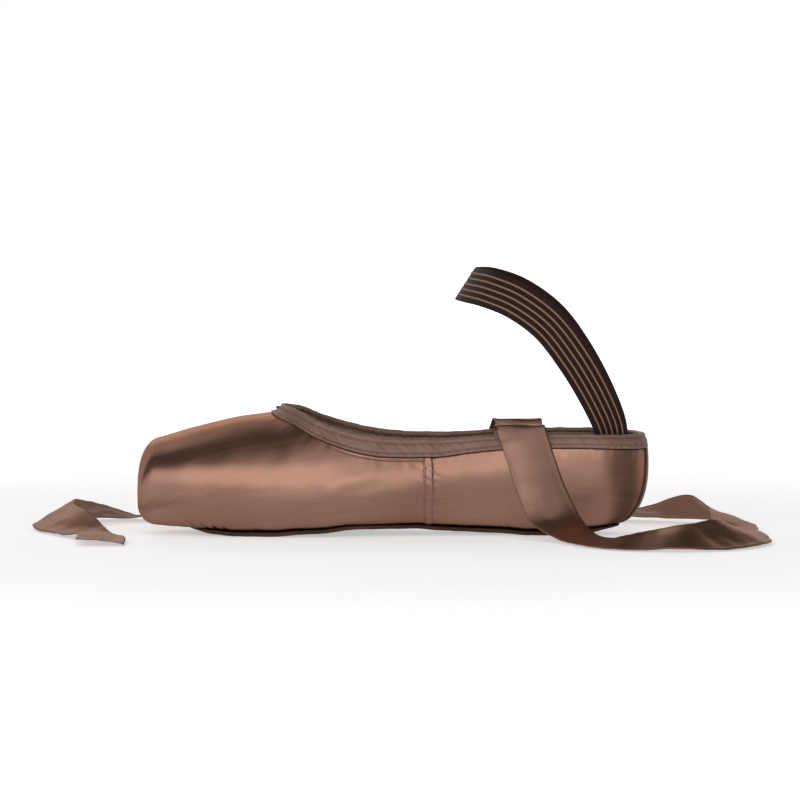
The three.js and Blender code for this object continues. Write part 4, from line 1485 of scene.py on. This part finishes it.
class Surface(Nodes):
    """A procedural material that is built up around one Principled shader."""

    def __init__(self, name, **values):
        self.material = bpy.data.materials.new(name)
        super().__init__(self.material)
        self.shader = self.tree.nodes["Principled BSDF"]
        for socket, value in values.items():
            self.shader.inputs[socket.replace("_", " ")].default_value = value

    def place(self):
        """The place on the object, in millimetres."""
        coordinates = self.node("ShaderNodeTexCoord").outputs["Object"]
        inputs = {"Vector": coordinates, "Scale": (1 / MM, 1 / MM, 1 / MM)}
        return self.node("ShaderNodeMapping", inputs).outputs[0]

    def cloth(self, along=1.0, across=1.0):
        """The place in the cloth, in millimetres times a factor each way."""
        uv = self.node("ShaderNodeUVMap", uv_map="Cloth").outputs[0]
        return self.node("ShaderNodeMapping", {"Vector": uv, "Scale": (along, across, 1)}).outputs[0]

    def noise(self, vector, scale, detail):
        inputs = {"Vector": vector, "Scale": scale, "Detail": detail}
        return self.node("ShaderNodeTexNoise", inputs).outputs["Fac"]

    def mask(self, name):
        return self.node("ShaderNodeAttribute", attribute_name=name).outputs["Fac"]

    def bump(self, height, depth, before=None):
        """Bump of a height from 0 to 1 that is depth millimetres deep."""
        inputs = {"Height": height, "Distance": depth * MM, "Strength": 1.0}
        if before is not None:
            inputs["Normal"] = before
        return self.node("ShaderNodeBump", inputs).outputs[0]

    def finish(self, **sockets):
        for socket, value in sockets.items():
            self.put(self.shader.inputs[socket.replace("_", " ")], value)
        return self.material


# Linear colours, from the darker to the lighter where a material has two.
SATIN = ((0.262, 0.143, 0.104, 1), (0.312, 0.175, 0.129, 1))
# Dark brown for the dark between threads and between tape ribs, and for painted shade in grooves and along
# the sole.
SATIN_THREAD_AND_SHADE = (0.070, 0.028, 0.016, 1)
SATIN_GRAZING = (0.55, 0.42, 0.36, 1)
STRIP_GREY = (0.120, 0.070, 0.056, 1)
RIBBON = ((0.190, 0.105, 0.075, 1), (0.245, 0.140, 0.104, 1))
CASING = ((0.206, 0.117, 0.085, 1), (0.258, 0.152, 0.113, 1))
LINING = ((0.12, 0.062, 0.042, 1), (0.18, 0.10, 0.07, 1))
SOCK = ((0.20, 0.115, 0.078, 1), (0.27, 0.165, 0.115, 1))
ELASTIC_KNIT = ((0.008, 0.003, 0.002, 1), (0.034, 0.0125, 0.0075, 1))
ELASTIC_RIB = ((0.12, 0.062, 0.042, 1), (0.33, 0.19, 0.135, 1))
LEATHER = ((0.030, 0.011, 0.006, 1), (0.064, 0.025, 0.015, 1))
LEATHER_SCUFF = (0.105, 0.050, 0.032, 1)
TACK_THREAD = (0.42, 0.27, 0.21, 1)
CASING_THREAD = (0.24, 0.135, 0.10, 1)
SLOT_THREAD = (0.34, 0.2, 0.15, 1)
SEAM_THREAD = (0.20, 0.105, 0.073, 1)
RIBBON_THREAD = (0.26, 0.15, 0.11, 1)
ELASTIC_THREAD = (0.22, 0.125, 0.09, 1)
DRAWSTRING = (0.10, 0.05, 0.035, 1)


# How many threads and streaks go to a millimetre, along the cloth and across it.
SATIN_THREADS = (0.35, 6.0)
SATIN_STREAKS = (0.03, 0.6)


def satin_material(name, deep, warm, metallic=0.9, roughness=0.3, masked=False):
    """Warp-faced satin: fine threads along the cloth, a soft sheen across them."""
    satin = Surface(name, Metallic=metallic, Anisotropic=0.4, Specular_Tint=SATIN_GRAZING)
    broad = satin.noise(satin.place(), 0.022, 1.0)
    threads = satin.noise(satin.cloth(*SATIN_THREADS), 1.0, 2.0)
    streaks = satin.noise(satin.cloth(*SATIN_STREAKS), 1.0, 1.0)
    shade = satin.spread(satin.math("ADD", broad, satin.math("MULTIPLY", streaks, 0.5)), 0.55, 0.95)
    colour = satin.blend(shade, deep, warm)
    colour = satin.blend(satin.spread(threads, 0.35, 0.65, 0, 0.12), colour, SATIN_THREAD_AND_SHADE)
    # With masked, the heel strip takes its own grey, and painted shade darkens the grooves and the satin
    # along the sole.
    if masked:
        for mask, shade in (("heel_strip", STRIP_GREY), ("seams", SATIN_THREAD_AND_SHADE)):
            share = satin.math("MULTIPLY", satin.mask(mask), 0.75)
            colour = satin.blend(share, colour, shade)
    rough = satin.spread(streaks, 0.3, 0.7, roughness - 0.02, roughness + 0.04)
    normal = satin.bump(threads, 0.003)
    tangent = satin.node("ShaderNodeTangent", direction_type="UV_MAP", uv_map="Cloth")
    return satin.finish(Base_Color=colour, Roughness=rough, Normal=normal, Tangent=tangent.outputs[0])


def cotton_material(name, dark, light, pitch=0.55):
    """Plain woven cloth, with its crossing threads as bump."""
    cotton = Surface(name, Roughness=0.8, Sheen_Weight=0.25, Specular_IOR_Level=0.3)
    inputs = {"Vector": cotton.cloth(1 / pitch, 1 / pitch), "Scale": 1.0, "Distortion": 0.6}
    threads = [cotton.node("ShaderNodeTexWave", inputs, bands_direction=way) for way in "XY"]
    weave = cotton.math("MULTIPLY", *(way.outputs["Fac"] for way in threads))
    mottle = cotton.noise(cotton.place(), 0.12, 3.0)
    colour = cotton.blend(cotton.spread(mottle, 0.3, 0.7), dark, light)
    colour = cotton.blend(cotton.spread(weave, 0, 0.5, 0.35, 0), colour, dark)
    return cotton.finish(Base_Color=colour, Normal=cotton.bump(weave, 0.06))


TAPE_RIBS = (0.9, 0.05)


def casing_material():
    """Matt ribbon tape: close cross ribs, and painted shade in the line drawn in under the cord and under
    its stitches.
    """
    tape = Surface("casing_tape", Metallic=0.25, Roughness=0.5)
    ribs = tape.node("ShaderNodeTexWave", {
        "Vector": tape.cloth(*TAPE_RIBS), "Scale": 1.0, "Distortion": 1.2, "Detail": 1.0,
    }, bands_direction="X").outputs["Fac"]
    mottle = tape.noise(tape.place(), 0.08, 2.0)
    colour = tape.blend(tape.spread(mottle, 0.3, 0.7), *CASING)
    colour = tape.blend(tape.spread(ribs, 0.2, 0.9, 0.22, 0), colour, SATIN_THREAD_AND_SHADE)
    # Painted shade in the drawn-in line and under the stitches.
    colour = tape.blend(tape.math("MULTIPLY", tape.mask("seams"), 0.6), colour, SATIN_THREAD_AND_SHADE)
    return tape.finish(Base_Color=colour, Normal=tape.bump(ribs, 0.05))


def thread_material(name, colour):
    """Twisted sewing thread."""
    thread = Surface(name, Roughness=0.45, Sheen_Weight=0.3)
    twist = thread.node("ShaderNodeTexWave", {
        "Vector": thread.place(), "Scale": 2.2, "Distortion": 1.0,
    }, bands_direction="DIAGONAL").outputs["Fac"]
    dark = tuple(0.55 * value for value in colour[:3]) + (1,)
    shade = thread.blend(twist, dark, colour)
    return thread.finish(Base_Color=shade, Normal=thread.bump(twist, 0.05))


def elastic_material():
    """Dark knitted webbing with five paler corded ribs."""
    elastic = Surface("elastic_knit", Roughness=0.7, Sheen_Weight=0.05, Specular_IOR_Level=0.15)
    across = elastic.node("ShaderNodeSeparateXYZ", {0: elastic.cloth()}).outputs["Y"]
    along = elastic.node("ShaderNodeSeparateXYZ", {0: elastic.cloth()}).outputs["X"]
    from_rib = elastic.math("PINGPONG", across, RIB_PITCH / 2)
    centre = elastic.math("SUBTRACT", RIB_PITCH / 2, from_rib)
    is_rib = elastic.spread(from_rib, 0.5, 0.28)
    inner = elastic.spread(elastic.math("ABSOLUTE", across), 7.4, 7.0)
    is_rib = elastic.math("MULTIPLY", is_rib, inner)
    courses = elastic.math("PINGPONG", along, 0.42)
    knit = elastic.node("ShaderNodeTexVoronoi", {
        "Vector": elastic.cloth(1.3, 2.1), "Scale": 1.0,
    }, feature="DISTANCE_TO_EDGE").outputs["Distance"]
    dark = elastic.blend(elastic.spread(knit, 0, 0.3), *ELASTIC_KNIT)
    pale = elastic.blend(elastic.spread(courses, 0.05, 0.3), *ELASTIC_RIB)
    colour = elastic.blend(is_rib, dark, pale)
    height = elastic.blend(is_rib, elastic.spread(knit, 0, 0.3), elastic.spread(courses, 0, 0.42))
    normal = elastic.bump(height, 0.1)
    normal = elastic.bump(elastic.spread(centre, 0.0, 1.2), 0.05, normal)
    return elastic.finish(Base_Color=colour, Normal=normal)


def leather_material():
    """Brown chrome leather with a scuffed suede face."""
    leather = Surface("sole_leather_grain", Specular_IOR_Level=0.2)
    place = leather.place()
    grain = leather.node("ShaderNodeTexVoronoi", {"Vector": place, "Scale": 1.1}).outputs["Distance"]
    nap = leather.noise(place, 2.4, 4.0)
    worn = leather.noise(place, 0.05, 3.0)
    colour = leather.blend(leather.spread(nap, 0.3, 0.7), *LEATHER)
    colour = leather.blend(leather.spread(worn, 0.5, 0.7, 0, 0.55), colour, LEATHER_SCUFF)
    rough = leather.spread(worn, 0.35, 0.7, 0.58, 0.82)
    normal = leather.bump(nap, 0.12)
    normal = leather.bump(leather.spread(grain, 0, 0.6), 0.05, normal)
    return leather.finish(Base_Color=colour, Roughness=rough, Normal=normal)


FLOOR_COLOUR = (0.8, 0.8, 0.81, 1)


def floor_material():
    """A pale floor that glows, more and more far from the shoe, into the white backdrop, and
    so lights the shoe from below. Towards the dark screen from the heel it has a painted shade
    that only reflections see, so the satin reflects it dark there."""
    floor = Surface("studio_floor", Roughness=0.9, Specular_IOR_Level=0.1)
    floor.shader.inputs["Emission Color"].default_value = (1, 1, 1, 1)
    place = floor.place()
    # The floor's own glow: it brightens away from the shoe into the backdrop and lights the shoe from below.
    glow = floor.spread(floor.vector("LENGTH", place)["Value"], 260, 1500, 0.47, 1.0)
    from_heel = floor.vector("SUBTRACT", place, (0, HEEL_CENTRE_Y, 0))[0]
    reflected = floor.node("ShaderNodeLightPath").outputs["Is Glossy Ray"]
    # Painted shade on the floor, towards the screen, seen only in reflections.
    dark = floor.math("MULTIPLY", screen_share(floor, from_heel), FLOOR_REFLECTED_SHADE)
    dark = floor.math("MULTIPLY", dark, reflected)
    colour = floor.blend(dark, FLOOR_COLOUR, SCREEN_COLOUR)
    glow = floor.math("MULTIPLY", glow, floor.math("SUBTRACT", 1.0, dark))
    return floor.finish(Base_Color=colour, Emission_Strength=glow)


# ---- Camera, light and floor ----

CAMERA_ELEVATION = math.radians(3.2)
CAMERA_AZIMUTH = math.radians(92)
CAMERA_DISTANCE = 2600
FRAME_WIDTH = 372
AIM = Vector((0, 3, 62)) * MM


def add_camera():
    camera = bpy.data.cameras.new("camera")
    camera.lens_unit = "FOV"
    camera.angle = 2 * math.atan(FRAME_WIDTH / 2 / CAMERA_DISTANCE)
    placed = bpy.data.objects.new("camera", camera)
    bpy.context.scene.collection.objects.link(placed)
    level = math.cos(CAMERA_ELEVATION)
    towards = Vector((
        level * math.sin(CAMERA_AZIMUTH),
        -level * math.cos(CAMERA_AZIMUTH),
        math.sin(CAMERA_ELEVATION),
    ))
    placed.location = AIM + towards * CAMERA_DISTANCE * MM
    placed.rotation_euler = (-towards).to_track_quat("-Z", "Y").to_euler()
    bpy.context.scene.camera = placed


# Each light's name, its place and aim and the size of its rectangle in metres, and its watts.
LIGHTS = (
    ("key", (1.7, -0.55, 0.8), (0, -0.03, 0.03), (2.2, 1.0), 8),
    ("low", (1.75, 0.5, 0.26), (0, 0.05, 0.03), (0.8, 0.3), 1.5),
    ("back", (-1.6, 0.0, 0.85), (0, 0, 0.05), (1.8, 0.6), 4),
)
FLOOR_RADIUS = 14


def add_area(name, place, aim, size, power):
    """A soft rectangular light, placed in metres and turned towards a point."""
    light = bpy.data.lights.new(name, "AREA")
    light.shape = "RECTANGLE"
    light.size, light.size_y = size
    light.energy = power
    lamp = bpy.data.objects.new(name, light)
    bpy.context.scene.collection.objects.link(lamp)
    lamp.location = place
    lamp.rotation_euler = (Vector(aim) - Vector(place)).to_track_quat("-Z", "Y").to_euler()


# The studio's walls and ceiling as the shoe reflects them, by the angle in degrees round the
# shoe's length, from the horizon on the camera's side over the top to the one behind.
WALLS = (
    (0, (0.95, 0.95, 0.95, 1)),
    (34, (1.0, 1.0, 1.0, 1)),
    (52, (0.045, 0.025, 0.016, 1)),
    (94, (0.035, 0.02, 0.013, 1)),
    (108, (0.85, 0.85, 0.85, 1)),
    (180, (0.95, 0.95, 0.95, 1)),
)
# The dark part of the ceiling runs aslant: it turns by so many degrees for each unit of the
# direction along the shoe, from where it is over the toe.
SLANT = 120
SLANT_FROM = -0.34
SLANT_TO = 0.05
SCREEN_AZIMUTH = math.radians(76)
SCREEN_EDGES = (0.79, 0.95)
SCREEN_DARK = 0.95
# How much of the screen's dark is painted on the floor as shade that only reflections see.
FLOOR_REFLECTED_SHADE = 0.8
SCREEN_COLOUR = (0.06, 0.035, 0.025, 1)


def screen_share(nodes, direction):
    """How far the dark screen hides what lies in a direction, whatever its height."""
    flat = nodes.vector("MULTIPLY", direction, (1, 1, 0))[0]
    level = nodes.vector("NORMALIZE", flat)[0]
    towards = (math.cos(SCREEN_AZIMUTH), math.sin(SCREEN_AZIMUTH), 0)
    facing = nodes.vector("DOT_PRODUCT", level, towards)["Value"]
    return nodes.spread(facing, *SCREEN_EDGES, 0, SCREEN_DARK)


def ceiling_colour(nodes, direction):
    """The colour of WALLS in a direction."""
    parts = nodes.node("ShaderNodeSeparateXYZ", {0: direction}).outputs
    angle = nodes.math("DEGREES", nodes.math("ARCTAN2", parts["Z"], parts["X"]))
    turn = (SLANT_TO - SLANT_FROM) * SLANT
    slant = nodes.spread(parts["Y"], SLANT_FROM, SLANT_TO, 0, turn)
    whole = WALLS[-1][0]
    place = nodes.spread(nodes.math("SUBTRACT", angle, slant), 0, whole)
    ramp = nodes.node("ShaderNodeValToRGB", {"Fac": place})
    stops = ramp.color_ramp.elements
    for position, _ in WALLS[2:]:
        stops.new(position / whole)
    for stop, (position, colour) in zip(stops, WALLS):
        stop.position = position / whole
        stop.color = colour
    return ramp.outputs["Color"]


def add_world():
    """A white studio with a dark strip of ceiling and a dark screen behind the heel, and white
    wherever the camera looks."""
    world = bpy.data.worlds.new("studio")
    bpy.context.scene.world = world
    studio = Nodes(world)
    direction = studio.node("ShaderNodeTexCoord").outputs["Generated"]
    screen = screen_share(studio, direction)
    walls = studio.blend(screen, ceiling_colour(studio, direction), SCREEN_COLOUR)
    seen = studio.node("ShaderNodeLightPath").outputs["Is Camera Ray"]
    colour = studio.blend(seen, walls, (1, 1, 1, 1))
    studio.put(studio.tree.nodes["Background"].inputs["Color"], colour)


def add_studio():
    scene = bpy.context.scene
    scene.view_settings.view_transform = "Standard"
    add_world()
    for light in LIGHTS:
        add_area(*light)
    bpy.ops.mesh.primitive_circle_add(vertices=96, radius=FLOOR_RADIUS, fill_type="NGON")
    floor = bpy.context.object
    floor.name = "studio_floor"
    floor.data.materials.append(floor_material())


# ---- The shoe ----


def settle(piece, material, slot, *nodes):
    """Gives a piece its material and its body, and hides the frame's solids that it stands for. Its slot is
    not used.
    """
    piece.data.materials.append(material)
    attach(piece, "root")
    if nodes:
        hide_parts(*nodes)


def add_ribbons():
    material = satin_material("ribbon_satin", *RIBBON, metallic=0.75, roughness=0.31)
    thread = thread_material("ribbon_thread", RIBBON_THREAD)
    for name, side, rows, seed in (
        ("ribbon_inner", 1, RIBBON_INNER_FLOOR, 41),
        ("ribbon_outer", -1, RIBBON_OUTER_FLOOR, 39),
    ):
        piece, middles, across, outs = make_ribbon(name + "_satin", side, rows, seed)
        settle(piece, material, "ribbon", name)
        piece.visible_glossy = False
        sewn = sewn_box(name + "_stitches", middles, across, outs, RIBBON_WIDTH, RIBBON_SEWN)
        settle(sewn, thread, "ribbon")


def add_shoe():
    satin = satin_material("shoe_satin", *SATIN, masked=True)
    settle(make_upper(), satin, "satin", "upper")
    drill = cotton_material("lining_drill", *LINING)
    settle(make_lining(), drill, "lining")
    casing, thread, tacks = make_casing()
    settle(casing, casing_material(), "casing", "collar_binding")
    settle(tacks, thread_material("tack_thread", TACK_THREAD), "casing")
    settle(thread, thread_material("casing_thread", CASING_THREAD), "casing")
    knot, slot = make_knot()
    cord = thread_material("drawstring_cotton", DRAWSTRING)
    settle(knot, cord, "casing", "drawstring_knot")
    settle(slot, thread_material("slot_thread", SLOT_THREAD), "casing")
    settle(make_outsole(), leather_material(), "sole_leather", "outsole")
    sock = cotton_material("sock_cotton", *SOCK, pitch=0.8)
    settle(make_sock(), sock, "lining", "insole")
    settle(make_seam_stitches(), thread_material("seam_thread", SEAM_THREAD), "satin")


def add_elastic():
    elastic, middles, across, outs = make_elastic()
    settle(elastic, elastic_material(), "elastic", "ankle_elastic")
    thread = thread_material("elastic_thread", ELASTIC_THREAD)
    for name, order in (("elastic_stitches_a", 1), ("elastic_stitches_b", -1)):
        lines = (middles[::order], across[::order], outs[::order])
        settle(sewn_box(name, *lines, ELASTIC_WIDTH, ELASTIC_SEWN), thread, "elastic")


add_camera()
add_ribbons()
add_shoe()
add_elastic()
add_studio()
